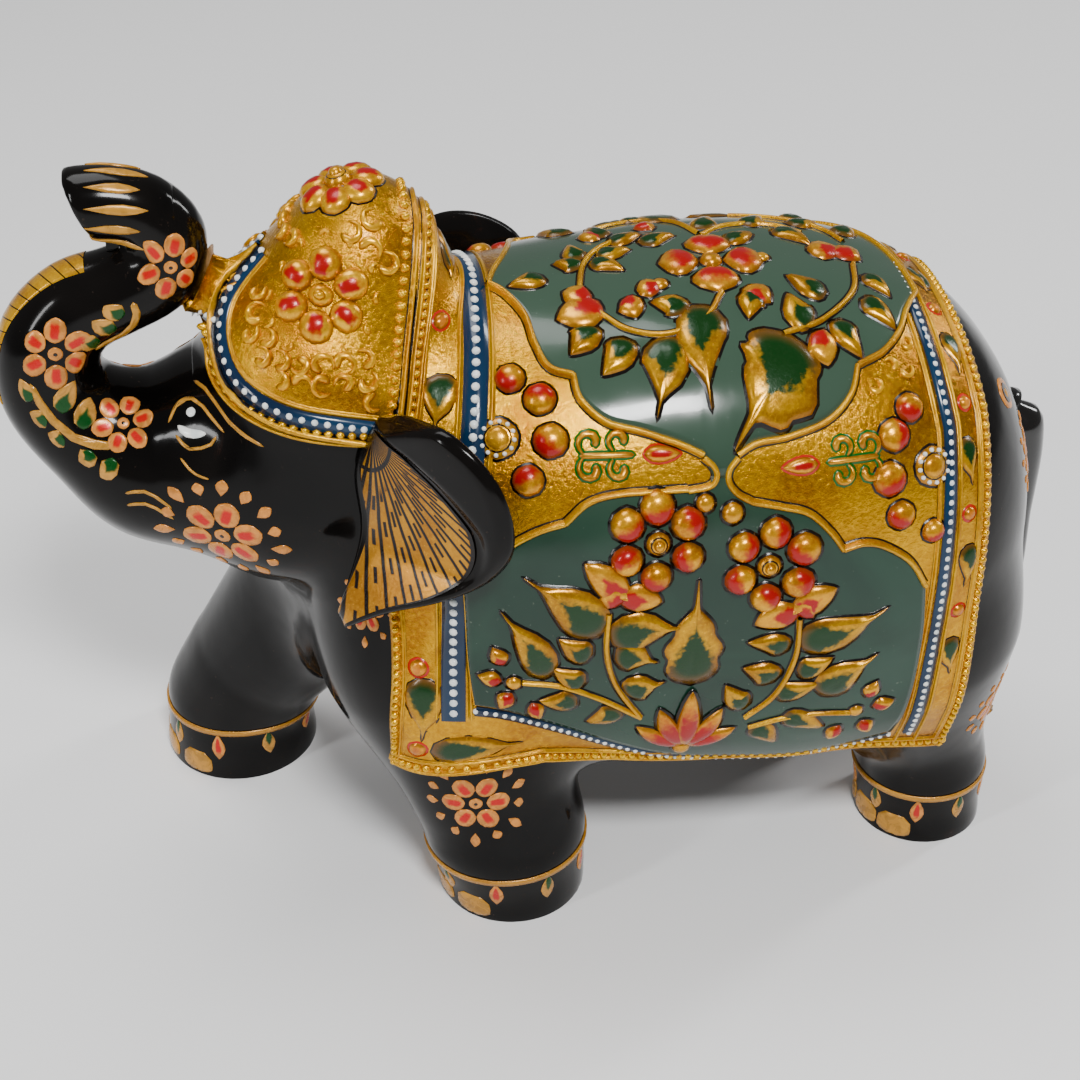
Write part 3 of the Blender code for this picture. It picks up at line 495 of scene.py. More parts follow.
def ridge(width, height, base=0.0, line=0.35):
    """Profile of a gilded ridge between two dark painted lines: sideways places and heights."""
    half = width / 2
    turn = np.linspace(-1, 1, 9)
    across = np.r_[-half - line - 0.05, -half - line, -half - 0.02, turn * half, half + 0.02,
            half + line, half + line + 0.05]
    rise = height * np.sqrt(np.maximum(1 - turn ** 2, 0)) + 0.1
    heights = base + np.r_[SUNK, 0.06, 0.06, rise, 0.06, 0.06, SUNK]
    return across, heights


def filled(name, outline, chart, level, finish, replaced=(), rings=26, centre=None):
    """A panel inside an outline: each point lies a share of the way from a centre to the outline,
    at one height, and its edge turns down into the ground."""
    outline = np.asarray(outline, float)
    centre = outline.mean(0) if centre is None else np.array(centre, float)
    shares = np.linspace(0, 1, rings)[:, None, None]
    spread = centre + (outline - centre) * shares
    spread = np.concatenate([spread, spread[-1:]])
    levels = np.full(spread.shape[:2], level, float)
    levels[-1] = SUNK
    starts = chart(spread[..., 0], spread[..., 1])
    points = BODY.settled(starts.reshape(-1, 3), levels.reshape(-1), 4)
    marks = {"share": np.broadcast_to(np.r_[np.linspace(0, 1, rings), 1][:, None], levels.shape),
            "left_right": spread[..., 0], "fore_up": spread[..., 1]}
    made = make_piece(name, points, grid_faces(rings + 1, len(outline), wrap_columns=True), finish,
            replaced, marks)
    return shells_out(made)


# ---------------------------------------------------------------- finishes

class Recipe:
    """Shader nodes built one after another in a tree."""

    def __init__(self, tree):
        self.tree = tree

    def add(self, kind, values=None, **settings):
        node = self.tree.nodes.new(kind)
        for key, value in settings.items():
            setattr(node, key, value)
        for key, value in (values or {}).items():
            socket = node.inputs[key]
            if isinstance(value, bpy.types.NodeSocket):
                self.tree.links.new(value, socket)
            else:
                socket.default_value = value
        return node

    def math(self, operation, *values, clamp=False):
        node = self.add("ShaderNodeMath", dict(enumerate(values)), operation=operation, use_clamp=clamp)
        return node.outputs[0]

    def times(self, first, second):
        return self.math("MULTIPLY", first, second)

    def plus(self, first, second):
        return self.math("ADD", first, second)

    def minus(self, first, second):
        return self.math("SUBTRACT", first, second)

    def size(self, value):
        """Value without its sign."""
        return self.math("ABSOLUTE", value)

    def wander(self, scale, detail, reach):
        """Noise either side of nought: its distance from a half, times a reach."""
        return self.times(self.minus(self.noise(scale, detail), 0.5), reach)

    def smooth(self, value, low, high):
        """Nought below low, one above high, and an eased rise between."""
        node = self.add("ShaderNodeMapRange", {"Value": value, "From Min": low, "From Max": high},
                interpolation_type="SMOOTHSTEP")
        return node.outputs[0]

    def mix(self, share, first, second):
        node = self.add("ShaderNodeMix", data_type="RGBA")
        for key, value in ((0, share), (6, first), (7, second)):
            if isinstance(value, bpy.types.NodeSocket):
                self.tree.links.new(value, node.inputs[key])
            else:
                node.inputs[key].default_value = value if key == 0 else (*value[:3], 1.0)
        return node.outputs[2]

    def noise(self, scale, detail=3.0, distortion=0.0, vector=None, roughness=0.5):
        vector = vector or self.place()
        return self.add("ShaderNodeTexNoise", {"Vector": vector, "Scale": scale, "Detail": detail,
                "Distortion": distortion, "Roughness": roughness}).outputs[0]

    def place(self):
        return self.add("ShaderNodeTexCoord").outputs["Object"]

    def mark(self, name):
        return self.add("ShaderNodeAttribute", attribute_name=name).outputs["Fac"]


def group(name, inputs, outputs, build):
    """A node group with named inputs and outputs, built once."""
    tree = bpy.data.node_groups.new(name, "ShaderNodeTree")
    for key, kind, value in inputs:
        socket = tree.interface.new_socket(key, in_out="INPUT", socket_type=kind)
        socket.default_value = value
    for key, kind in outputs:
        tree.interface.new_socket(key, in_out="OUTPUT", socket_type=kind)
    recipe = Recipe(tree)
    given = recipe.add("NodeGroupInput").outputs
    for key, socket in build(recipe, given).items():
        ends = [node for node in tree.nodes
                if node.type == "GROUP_OUTPUT"] or [recipe.add("NodeGroupOutput")]
        tree.links.new(socket, ends[0].inputs[key])
    return tree


FLOAT, COLOUR = "NodeSocketFloat", "NodeSocketColor"


def build_gilding(r, given):
    """Gold size laid by hand: a soft cloudy tone, finer stipple, brown toning in scattered rubbed
    patches from noise, and its grain height."""
    cloud = r.smooth(r.noise(given["Cloud"], 4.0, 0.6), 0.32, 0.68)
    stipple = r.noise(given["Grain"], 5.0, 0.2, roughness=0.65)
    tone = r.plus(r.times(cloud, 0.6), r.times(r.smooth(stipple, 0.35, 0.7), 0.4))
    colour = r.mix(tone, given["Deep"], given["Light"])
    rubbed = r.smooth(r.noise(r.times(given["Cloud"], 2.7), 6.0, 1.0, roughness=0.7), 0.62, 0.8)
    rubbed = r.times(rubbed, given["Wear"])
    colour = r.mix(rubbed, colour, (0.16, 0.055, 0.012))
    rough = r.plus(r.times(stipple, 0.22), 0.13)
    rough = r.plus(rough, r.times(rubbed, 0.2))
    return {"Color": colour, "Roughness": rough, "Height": stipple, "Rubbed": rubbed}


GILDING = group("gilding", [("Light", COLOUR, (1, 0.6, 0.12, 1)),
        ("Deep", COLOUR, (0.6, 0.25, 0.02, 1)),
        ("Cloud", FLOAT, 90.0), ("Grain", FLOAT, 1400.0), ("Wear", FLOAT, 0.6)],
        [("Color", COLOUR), ("Roughness", FLOAT), ("Height", FLOAT), ("Rubbed", FLOAT)], build_gilding)


def build_enamel(r, given):
    """Brushed enamel: broad cloudiness between two colours, specks of dust under the varnish, and
    slow waves in height."""
    cloud = r.smooth(r.noise(given["Cloud"], 3.0, 0.8), 0.3, 0.7)
    colour = r.mix(cloud, given["Deep"], given["Light"])
    speck = r.smooth(r.noise(900.0, 2.0, 0.0), 0.7, 0.78)
    colour = r.mix(r.times(speck, given["Specks"]), colour, given["Speck Colour"])
    wave = r.noise(70.0, 2.0, 0.3)
    rough = r.plus(r.times(cloud, 0.06), r.times(speck, 0.25))
    return {"Color": colour, "Roughness": rough, "Height": wave}


ENAMEL = group("brushed_enamel", [("Light", COLOUR, (0, 0, 0, 1)), ("Deep", COLOUR, (0, 0, 0, 1)),
        ("Speck Colour", COLOUR, (0.4, 0.45, 0.35, 1)), ("Cloud", FLOAT, 40.0), ("Specks", FLOAT, 0.2)],
        [("Color", COLOUR), ("Roughness", FLOAT), ("Height", FLOAT)], build_enamel)


def start_finish(name):
    """A new material with its recipe and its shader."""
    made = bpy.data.materials.new(name)
    made.use_nodes = True
    tree = made.node_tree
    shader = tree.nodes["Principled BSDF"]
    return made, Recipe(tree), shader


def wire(recipe, shader, **links):
    """Sets or links the shader's named sockets."""
    for key, value in links.items():
        socket = shader.inputs[key.replace("_", " ")]
        if isinstance(value, bpy.types.NodeSocket):
            recipe.tree.links.new(value, socket)
        else:
            socket.default_value = value


def bump(recipe, height, strength, distance):
    """Surface directions tilted by a height."""
    return recipe.add("ShaderNodeBump",
            {"Height": height, "Strength": strength, "Distance": distance}).outputs[0]


def placed(recipe, tree, **values):
    """A node group in a recipe, with its inputs set or linked."""
    node = recipe.add("ShaderNodeGroup", node_tree=tree)
    for key, value in values.items():
        key = key.replace("_", " ")
        if isinstance(value, bpy.types.NodeSocket):
            recipe.tree.links.new(value, node.inputs[key])
        else:
            node.inputs[key].default_value = (*value, 1.0) if np.ndim(value) else value
    return node.outputs


INK = (0.003, 0.001, 0.0005)
ENAMEL_ROUGHNESS = 0.13
RELIEF_METAL = 0.6


def lacquer():
    """Black lacquer over wood: deep gloss, faint brown where hands have rubbed it, slow waves of
    the carving."""
    made, r, shader = start_finish("black_lacquer")
    coat = placed(r, ENAMEL, Light=(0.004, 0.0032, 0.0028), Deep=(0.0016, 0.0013, 0.0012),
            Speck_Colour=(0.05, 0.03, 0.02), Cloud=45.0, Specks=0.35)
    rubbed = r.smooth(r.noise(32.0, 6.0, 1.2, roughness=0.7), 0.62, 0.78)
    colour = r.mix(r.times(rubbed, 0.55), coat["Color"], (0.045, 0.012, 0.005))
    rough = r.plus(r.times(coat["Roughness"], 0.8), r.plus(r.times(rubbed, 0.1), 0.1))
    wire(r, shader, Base_Color=colour, Roughness=rough, Metallic=0.0, Specular_IOR_Level=0.12,
         Coat_Weight=0.07, Coat_Roughness=0.03, Normal=bump(r, coat["Height"], 0.35, 0.0006))
    return made


def gold(name, light, deep, metallic=0.72, cloud=90.0, grain=1400.0, wear=0.6, depth=0.00022,
        inked=None):
    """Gilding. inked is the sideways half width past which a strip's profile is a dark painted
    line."""
    made, r, shader = start_finish(name)
    leaf = placed(r, GILDING, Light=light, Deep=deep, Cloud=cloud, Grain=grain, Wear=wear)
    colour, rough, metal = leaf["Color"], leaf["Roughness"], metallic
    if inked is not None:
        edge = r.size(r.mark("across"))
        wobble = r.wander(260.0, 2.0, 0.3)
        dark = r.smooth(r.plus(edge, wobble), inked - 0.06, inked + 0.06)
        colour = r.mix(dark, colour, INK)
        metal = r.times(r.minus(1.0, dark), metallic)
    wire(r, shader, Base_Color=colour, Roughness=rough, Metallic=metal, Specular_IOR_Level=0.3,
         Coat_Weight=0.1, Coat_Roughness=0.12, Normal=bump(r, leaf["Height"], 0.6, depth))
    return made


def enamel(name, light, deep, specks=0.12, cloud=35.0, high=None):
    """Coloured enamel under varnish. high, if given, is a paler colour painted on the top of the back
    as painted light, where the lamps above light it most."""
    made, r, shader = start_finish(name)
    coat = placed(r, ENAMEL, Light=light, Deep=deep, Cloud=cloud, Specks=specks)
    colour = coat["Color"]
    # Painted light: above a height the colour turns to the paler high colour, standing in for the
    # lamps' light on the top of the back.
    if high:
        rise = r.add("ShaderNodeSeparateXYZ", {"Vector": r.place()}).outputs[2]
        colour = r.mix(r.smooth(rise, 0.085, 0.118), colour, high)
    rough = r.plus(coat["Roughness"], ENAMEL_ROUGHNESS)
    wire(r, shader, Base_Color=colour, Roughness=rough, Metallic=0.0, Specular_IOR_Level=0.28,
         Coat_Weight=0.18, Coat_Roughness=0.05, Normal=bump(r, coat["Height"], 0.3, 0.0005))
    return made


def gilt_relief(name, light, deep, tint, pattern, outline=1.05, tint_strength=1.0, edge=INK):
    """Gilded relief washed with a transparent colour where its pattern says, inside a dark
    painted outline."""
    made, r, shader = start_finish(name)
    leaf = placed(r, GILDING, Light=light, Deep=deep, Cloud=170.0, Grain=1500.0, Wear=0.25)
    reach, along, across, wash, tone = (r.mark(key)
            for key in ("reach", "along", "across", "wash", "tone"))
    ragged = r.wander(900.0, 3.0, 0.35)
    stain = r.times(pattern(r, reach, along, across, tone, ragged), wash)
    colour = leaf["Color"]
    if tint:
        colour = r.mix(r.times(stain, tint_strength), colour, tint)
    metal = r.times(r.minus(1.0, r.times(stain, 0.8)), RELIEF_METAL)
    shade = r.times(r.smooth(reach, 0.72, 1.0), 0.55)
    colour = r.mix(shade, colour, (0.22, 0.07, 0.008))
    dark = r.smooth(reach, outline, outline + 0.08)
    colour = r.mix(dark, colour, edge)
    metal = r.times(metal, r.minus(1.0, dark))
    wire(r, shader, Base_Color=colour, Roughness=leaf["Roughness"], Metallic=metal,
         Specular_IOR_Level=0.3, Coat_Weight=0.15, Coat_Roughness=0.06,
         Normal=bump(r, leaf["Height"], 0.35, 0.00012))
    return made


def centre_streak(r, reach, along, across, tone, ragged):
    """A streak along the middle of a petal, over its inner two thirds."""
    side = r.smooth(r.plus(r.size(across), ragged), 0.52, 0.28)
    length = r.times(r.smooth(along, 0.1, 0.22), r.smooth(r.plus(along, ragged), 0.86, 0.62))
    return r.times(side, length)


def base_wash(r, reach, along, across, tone, ragged):
    """A feathered wash that starts at the base and runs out along the midrib."""
    spread = r.minus(0.62, r.times(r.size(across), 0.5))
    return r.smooth(r.minus(r.plus(along, ragged), spread), 0.1, -0.08)


def lower_wash(r, reach, along, across, tone, ragged):
    """A wash over one cheek of a boss, turned by its tone, that leaves the other cheek gold."""
    turn = r.times(tone, 6.2831)
    lean = r.plus(r.times(r.math("COSINE", turn), r.minus(along, 0.5)),
            r.times(r.math("SINE", turn), r.times(across, 0.45)))
    return r.smooth(r.plus(lean, ragged), -0.16, 0.14)


def heart_wash(r, reach, along, across, tone, ragged):
    """A wash over most of a petal from its base, which leaves a gold rim."""
    rim = r.smooth(r.plus(reach, ragged), 0.95, 0.6)
    return r.times(rim, r.smooth(r.plus(along, ragged), 0.95, 0.5))


def no_wash(r, reach, along, across, tone, ragged):
    """No tint anywhere."""
    return r.times(tone, 0.0)


def painted(name, base, streak, pattern):
    """Flat opaque strokes on lacquer: body colour with uneven load, and a streak of a second
    colour."""
    made, r, shader = start_finish(name)
    reach, along, across, wash, tone = (r.mark(key)
            for key in ("reach", "along", "across", "wash", "tone"))
    ragged = r.wander(700.0, 3.0, 0.3)
    load = r.smooth(r.noise(420.0, 4.0, 0.8), 0.25, 0.75)
    deep = tuple(c * 0.55 for c in base)
    colour = r.mix(load, deep, base)
    if streak:
        colour = r.mix(r.times(pattern(r, reach, along, across, tone, ragged), wash), colour, streak)
    wire(r, shader, Base_Color=colour, Roughness=r.plus(r.times(load, 0.12), 0.22), Metallic=0.12,
         Specular_IOR_Level=0.25, Coat_Weight=0.1, Coat_Roughness=0.1,
         Normal=bump(r, load, 0.25, 0.0001))
    return made


def bare_wood():
    """Bare hardwood for the hidden pins: rings stretched along the grain."""
    made, r, shader = start_finish("dowel_wood")
    place = r.add("ShaderNodeMapping", {"Vector": r.place(), "Scale": (0.12, 1.0, 1.0)}).outputs[0]
    grain = r.noise(900.0, 6.0, 1.5, vector=place)
    colour = r.mix(grain, (0.26, 0.13, 0.05), (0.55, 0.36, 0.18))
    wire(r, shader, Base_Color=colour, Roughness=0.6, Metallic=0.0, Normal=bump(r, grain, 0.3, 0.0002))
    return made


def fan_gold():
    """Toned gold with black rays that spread from the apex, each space split by short dashes,
    inside an inked edge."""
    made, r, shader = start_finish("fan_gold")
    leaf = placed(r, GILDING, Light=(0.52, 0.24, 0.012), Deep=(0.32, 0.12, 0.003), Cloud=120.0,
            Grain=1500.0, Wear=0.5)
    turn, far, share = (r.mark(key) for key in ("turn", "far", "share"))
    wobble = r.wander(110.0, 2.0, 0.035)
    rays = r.times(r.plus(turn, wobble), 9.0)
    near = r.size(r.minus(r.math("FRACT", rays), 0.5))
    width = r.math("DIVIDE", 4.2, r.plus(far, 3.0))
    ray = r.smooth(near, r.minus(0.5, r.times(width, 1.1)), r.minus(0.5, r.times(width, 0.5)))
    between = r.size(r.minus(r.math("FRACT", r.plus(rays, 0.5)), 0.5))
    dash_side = r.smooth(between, r.minus(0.5, width), r.minus(0.5, r.times(width, 0.45)))
    dash_run = r.smooth(r.math("SINE", r.plus(r.times(far, 0.95), r.times(r.math("FLOOR", rays), 1.7))),
            0.1, 0.3)
    dash = r.times(dash_side, r.times(dash_run, r.smooth(far, 9.0, 12.0)))
    arc = r.smooth(r.size(r.minus(far, 7.0)), 0.55, 0.3)
    edge = r.smooth(share, 0.955, 0.97)
    dark = r.math("MAXIMUM", r.math("MAXIMUM", ray, dash), r.math("MAXIMUM", arc, edge))
    colour = r.mix(dark, leaf["Color"], INK)
    metal = r.times(r.minus(1.0, dark), 0.4)
    wire(r, shader, Base_Color=colour, Roughness=leaf["Roughness"], Metallic=metal,
         Specular_IOR_Level=0.25, Coat_Weight=0.08, Coat_Roughness=0.08,
         Normal=bump(r, leaf["Height"], 0.4, 0.00015))
    return made


def tail_paint():
    """Black lacquer that turns to toned gold hair at the tuft, combed with dark lines."""
    made, r, shader = start_finish("tail_paint")
    leaf = placed(r, GILDING, Light=(0.5, 0.23, 0.012), Deep=(0.3, 0.12, 0.003), Cloud=120.0,
            Grain=1500.0, Wear=0.4)
    run, across = r.mark("run"), r.mark("across")
    wobble = r.wander(260.0, 2.0, 0.09)
    hair = r.smooth(r.plus(run, wobble), 0.62, 0.64)
    combed = r.size(r.minus(r.math("FRACT", r.plus(r.times(across, 9.0), r.times(wobble, 4.0))), 0.5))
    line = r.smooth(combed, 0.36, 0.44)
    gilt = r.times(hair, r.minus(1.0, line))
    colour = r.mix(gilt, (0.003, 0.0025, 0.002), leaf["Color"])
    wire(r, shader, Base_Color=colour, Roughness=r.plus(r.times(gilt, 0.15), 0.12),
         Metallic=r.times(gilt, 0.4),
         Coat_Weight=0.3, Coat_Roughness=0.05, Normal=bump(r, leaf["Height"], 0.2, 0.0001))
    return made


def banded_gold():
    """Toned gold crossed by thin slanted dark lines."""
    made, r, shader = start_finish("slant_lined_gold")
    leaf_tone = placed(r, GILDING, Light=(0.62, 0.33, 0.004), Deep=(0.36, 0.15, 0.0), Cloud=150.0,
            Grain=1500.0, Wear=0.4)
    slant = r.plus(r.times(r.mark("run"), 0.36), r.times(r.mark("across"), 0.16))
    near = r.size(r.minus(r.math("FRACT", slant), 0.5))
    dark = r.smooth(near, 0.43, 0.47)
    wire(r, shader, Base_Color=r.mix(dark, leaf_tone["Color"], INK),
         Roughness=leaf_tone["Roughness"], Metallic=0.35,
         Specular_IOR_Level=0.25, Coat_Weight=0.1, Normal=bump(r, leaf_tone["Height"], 0.3, 0.0001))
    return made


GOLD_LIGHT, GOLD_DEEP = (0.80, 0.42, 0.0), (0.36, 0.13, 0.0)
RED, GREEN = (0.33, 0.0, 0.0), (0.0, 0.028, 0.001)
LACQUER = lacquer()
GROUND = gold("gilded_ground", GOLD_LIGHT, GOLD_DEEP, metallic=0.85, cloud=60.0, grain=1100.0,
        wear=0.7, depth=0.0003)
STRIP_GOLD = gold("gilded_ridge", (0.78, 0.42, 0.0), (0.42, 0.17, 0.0), metallic=0.6)
BEAD_GOLD = gold("gilded_bead", (0.95, 0.55, 0.0), (0.58, 0.27, 0.0), metallic=0.75, cloud=300.0,
        wear=0.3)
# The green's paler high colour is painted light on the top of the back, where the lamps above light it
# most.
GREEN_ENAMEL = enamel("green_enamel", (0.011, 0.045, 0.026), (0.004, 0.024, 0.013),
        high=(0.034, 0.066, 0.043))
BLUE_ENAMEL = enamel("blue_enamel", (0.004, 0.030, 0.075), (0.002, 0.011, 0.034), specks=0.05)
WHITE_ENAMEL = enamel("white_enamel", (0.86, 0.86, 0.82), (0.62, 0.68, 0.68), specks=0.0, cloud=400.0)
INK_PAINT = enamel("ink_line", (0.016, 0.006, 0.003), (0.006, 0.003, 0.002), specks=0.0)
RED_PETALS = gilt_relief("red_washed_petals", (0.85, 0.42, 0.01), (0.5, 0.18, 0.002), RED, heart_wash)
RED_BOSSES = gilt_relief("red_washed_bosses", (0.85, 0.42, 0.0), (0.40, 0.13, 0.0), RED, lower_wash)
GREEN_LEAVES = gilt_relief("green_washed_leaves", (0.66, 0.34, 0.0), (0.30, 0.12, 0.0), GREEN,
        base_wash)
GOLD_RELIEF = gilt_relief("gilded_relief", (0.80, 0.40, 0.01), (0.44, 0.17, 0.002), None, no_wash)
CAP_RELIEF = gilt_relief("cap_relief", (0.92, 0.50, 0.0), (0.52, 0.2, 0.0), RED, centre_streak,
        outline=3.0)
PAINTED_PETALS = painted("painted_petals", (0.72, 0.27, 0.045), (0.5, 0.006, 0.003), centre_streak)
PAINTED_LEAVES = painted("painted_leaves", (0.62, 0.29, 0.045), (0.0, 0.05, 0.004), base_wash)
PAINTED_GOLD = painted("painted_gold", (0.58, 0.27, 0.03), None, None)
STRIP_INKED = gold("gilded_ridge_inked", (0.78, 0.42, 0.0), (0.42, 0.17, 0.0), metallic=0.6, inked=0.68)
STEM_INKED = gold("gilded_stem_inked", (0.74, 0.40, 0.0), (0.40, 0.16, 0.0), metallic=0.55, inked=0.5)
RED_BUDS = gilt_relief("red_washed_buds", (0.82, 0.4, 0.01), (0.46, 0.17, 0.002), RED, base_wash)
GREEN_EDGED = gilt_relief("green_edged_sprigs", (0.80, 0.40, 0.01), (0.44, 0.17, 0.002), None,
        no_wash, edge=(0.0, 0.085, 0.004))
RED_EDGED = gilt_relief("red_edged_buds", (0.85, 0.42, 0.01), (0.48, 0.17, 0.002), RED,
        centre_streak, edge=(0.42, 0.01, 0.002))
RED_EDGED_RING = gilt_relief("red_ringed_buds", (0.85, 0.36, 0.01), (0.48, 0.15, 0.002), RED,
        centre_streak, edge=(0.45, 0.01, 0.002), tint_strength=0.3)
CROWN_PETALS = gilt_relief("crown_petals", (0.92, 0.50, 0.0), (0.52, 0.2, 0.0), RED, centre_streak)
PAINTED_LINE = gold("painted_line", (0.58, 0.27, 0.03), (0.36, 0.15, 0.012), metallic=0.2, wear=0.4)
FAN_GOLD = fan_gold()
TAIL_PAINT = tail_paint()
BANDED_GOLD = banded_gold()
DOWEL = bare_wood()


# ---------------------------------------------------------------- wood

def ball(rows=20, columns=30):
    """Unit ball: latitude by longitude, closed at both poles."""
    fall = np.linspace(0, math.pi, rows)[:, None]
    turn = np.linspace(0, 2 * math.pi, columns, endpoint=False)
    points = np.stack([np.sin(fall) * np.cos(turn), np.sin(fall) * np.sin(turn),
            np.cos(fall) + 0 * turn], -1)
    return points.reshape(-1, 3), grid_faces(rows, columns, wrap_columns=True)


def rough_block():
    """Overlapping balls along every mass and along the trunk."""
    unit, faces = ball()
    balls = []
    for kind, sizes, _ in MASSES:
        if kind is ellipsoid:
            centre, half, squareness = sizes
            size = (np.abs(unit) ** squareness).sum(1) ** (1 / squareness)
            balls.append(centre + half * unit / size[:, None])
        else:
            start, end, first, last = sizes
            balls += [start + (end - start) * s + unit * (first + (last - first) * s)
                    for s in np.linspace(0, 1, 9)]
    balls += [station[:3] + unit * station[3] for station in TRUNK[::2]]
    all_faces = np.concatenate([faces + i * len(unit) for i in range(len(balls))])
    return np.concatenate(balls), all_faces


def remeshed(points, faces, voxel):
    """An even skin of small quads round the joined balls."""
    mesh = bpy.data.meshes.new("rough")
    mesh.from_pydata((points * MM).tolist(), [], faces.tolist())
    rough = bpy.data.objects.new("rough", mesh)
    bpy.context.scene.collection.objects.link(rough)
    modifier = rough.modifiers.new("even", "REMESH")
    modifier.mode = "VOXEL"
    modifier.voxel_size = voxel * MM
    even = rough.evaluated_get(bpy.context.evaluated_depsgraph_get()).to_mesh()
    found = np.empty(len(even.vertices) * 3)
    even.vertices.foreach_get("co", found)
    corners = np.empty(len(even.loops), np.int32)
    even.loops.foreach_get("vertex_index", corners)
    quads = corners.reshape(-1, 4)
    bpy.data.objects.remove(rough)
    return found.reshape(-1, 3) / MM, quads


def evened(points, quads):
    """Each point moved to the mean of the middles of its quads."""
    middles = points[quads].mean(1)
    total = np.stack([np.bincount(quads.ravel(), np.repeat(middles[:, i], 4), len(points))
            for i in range(3)], 1)
    return total / np.bincount(quads.ravel(), minlength=len(points))[:, None]


CHIN = 0.060
BODY_VOXEL = 1.5


def carve_wood():
    """The skin of the carving, settled on its shape, flat at the soles, and cut where the trunk
    is glued on."""
    points, quads = remeshed(*rough_block(), BODY_VOXEL)
    for _ in range(3):
        points = evened(BODY.settled(points, 0.0, 2), quads)
    points = BODY.settled(points, 0.0, 3)
    points[:, 2] = np.maximum(points[:, 2], 0.0)
    face_x = (FACE_X + SHIFT[0]) * MM
    for name, sign, replaced in (("carved_body", 1, "body"), ("raised_trunk", -1, "trunk")):
        mesh = bpy.data.meshes.new(name)
        mesh.from_pydata(((points + SHIFT) * MM).tolist(), [], quads.tolist())
        bm = bmesh.new()
        bm.from_mesh(mesh)
        high = [f for f in bm.faces if f.calc_center_median().z > CHIN]
        edges = {e for f in high for e in f.edges}
        verts = {v for f in high for v in f.verts}
        bmesh.ops.bisect_plane(bm, geom=[*verts, *edges, *high], plane_co=(face_x, 0, 0),
                plane_no=(1, 0, 0), dist=1e-7)
        far = []
        for f in bm.faces:
            middle = f.calc_center_median()
            trunk_side = middle.x < face_x and middle.z > CHIN
            if trunk_side == (sign > 0):
                far.append(f)
        bmesh.ops.delete(bm, geom=far, context="FACES")
        rim = [e for e in bm.edges if e.is_boundary]
        bmesh.ops.edgeloop_fill(bm, edges=rim)
        bmesh.ops.recalc_face_normals(bm, faces=bm.faces)
        bm.to_mesh(mesh)
        bm.free()
        mesh.shade_smooth()
        mesh.set_sharp_from_angle(angle=math.radians(55))
        mesh.materials.append(LACQUER)
        linked(name, mesh, (replaced,))


EAR_ROOT = ((10, 26, 4), (5, 26, -7), (5, 29, -19), (0, 33, -33.5))
EAR_RIM = {
    "left": ((12, 32, 7), (20, 42, 9), (27.4, 48, 2), (29.8, 49, -10), (25.7, 46.5, -19),
        (17, 44, -24.5), (8, 40, -29), (0.5, 36, -34.5)),
    "right": ((15, 34, 6), (27, 43, 7), (37, 47, 3.5), (44, 47.5, -3), (43, 49, -13), (32, 49, -21),
        (18, 46.5, -28), (1.5, 39, -34.5)),
}
FAN_ROWS = (0.0, 0.1, 0.22, 0.45, 0.7, 0.85, 1.0)
FAN_REACH = (0.10, 0.20, 0.46, 0.78, 0.95, 0.97, 0.97)


def ease(value, low, high):
    """Share of the way from low to high, eased at both ends."""
    share = np.clip((value - low) / (high - low), 0, 1)
    return share * share * (3 - 2 * share)


def ear_sheet(name, side, down, across):
    """Middle of an ear and its outward direction: straight lines from its root to its rim, lifted
    clear of the cloth."""
    root = curve(SKULL + np.array(EAR_ROOT) * (1, side, 1), 60)
    rim = curve(SKULL + np.array(EAR_RIM[name]) * (1, side, 1), 60)
    steps = np.linspace(0, 1, 60)
    root, rim = (np.stack([np.interp(down, steps, line[:, i]) for i in range(3)], -1)
            for line in (root, rim))
    middle = root * (1 - across[..., None]) + rim * across[..., None]
    clear = -1.0 + 3.2 * ease(across, 0.0, 0.16) + 1.7 * ease(across, 0.1, 0.35)
    flat, levels = middle.reshape(-1, 3).copy(), clear.reshape(-1)
    for _ in range(6):
        flat += BODY.slope(flat) * np.maximum(levels - BODY.distance(flat), 0)[:, None]
    return flat.reshape(middle.shape)


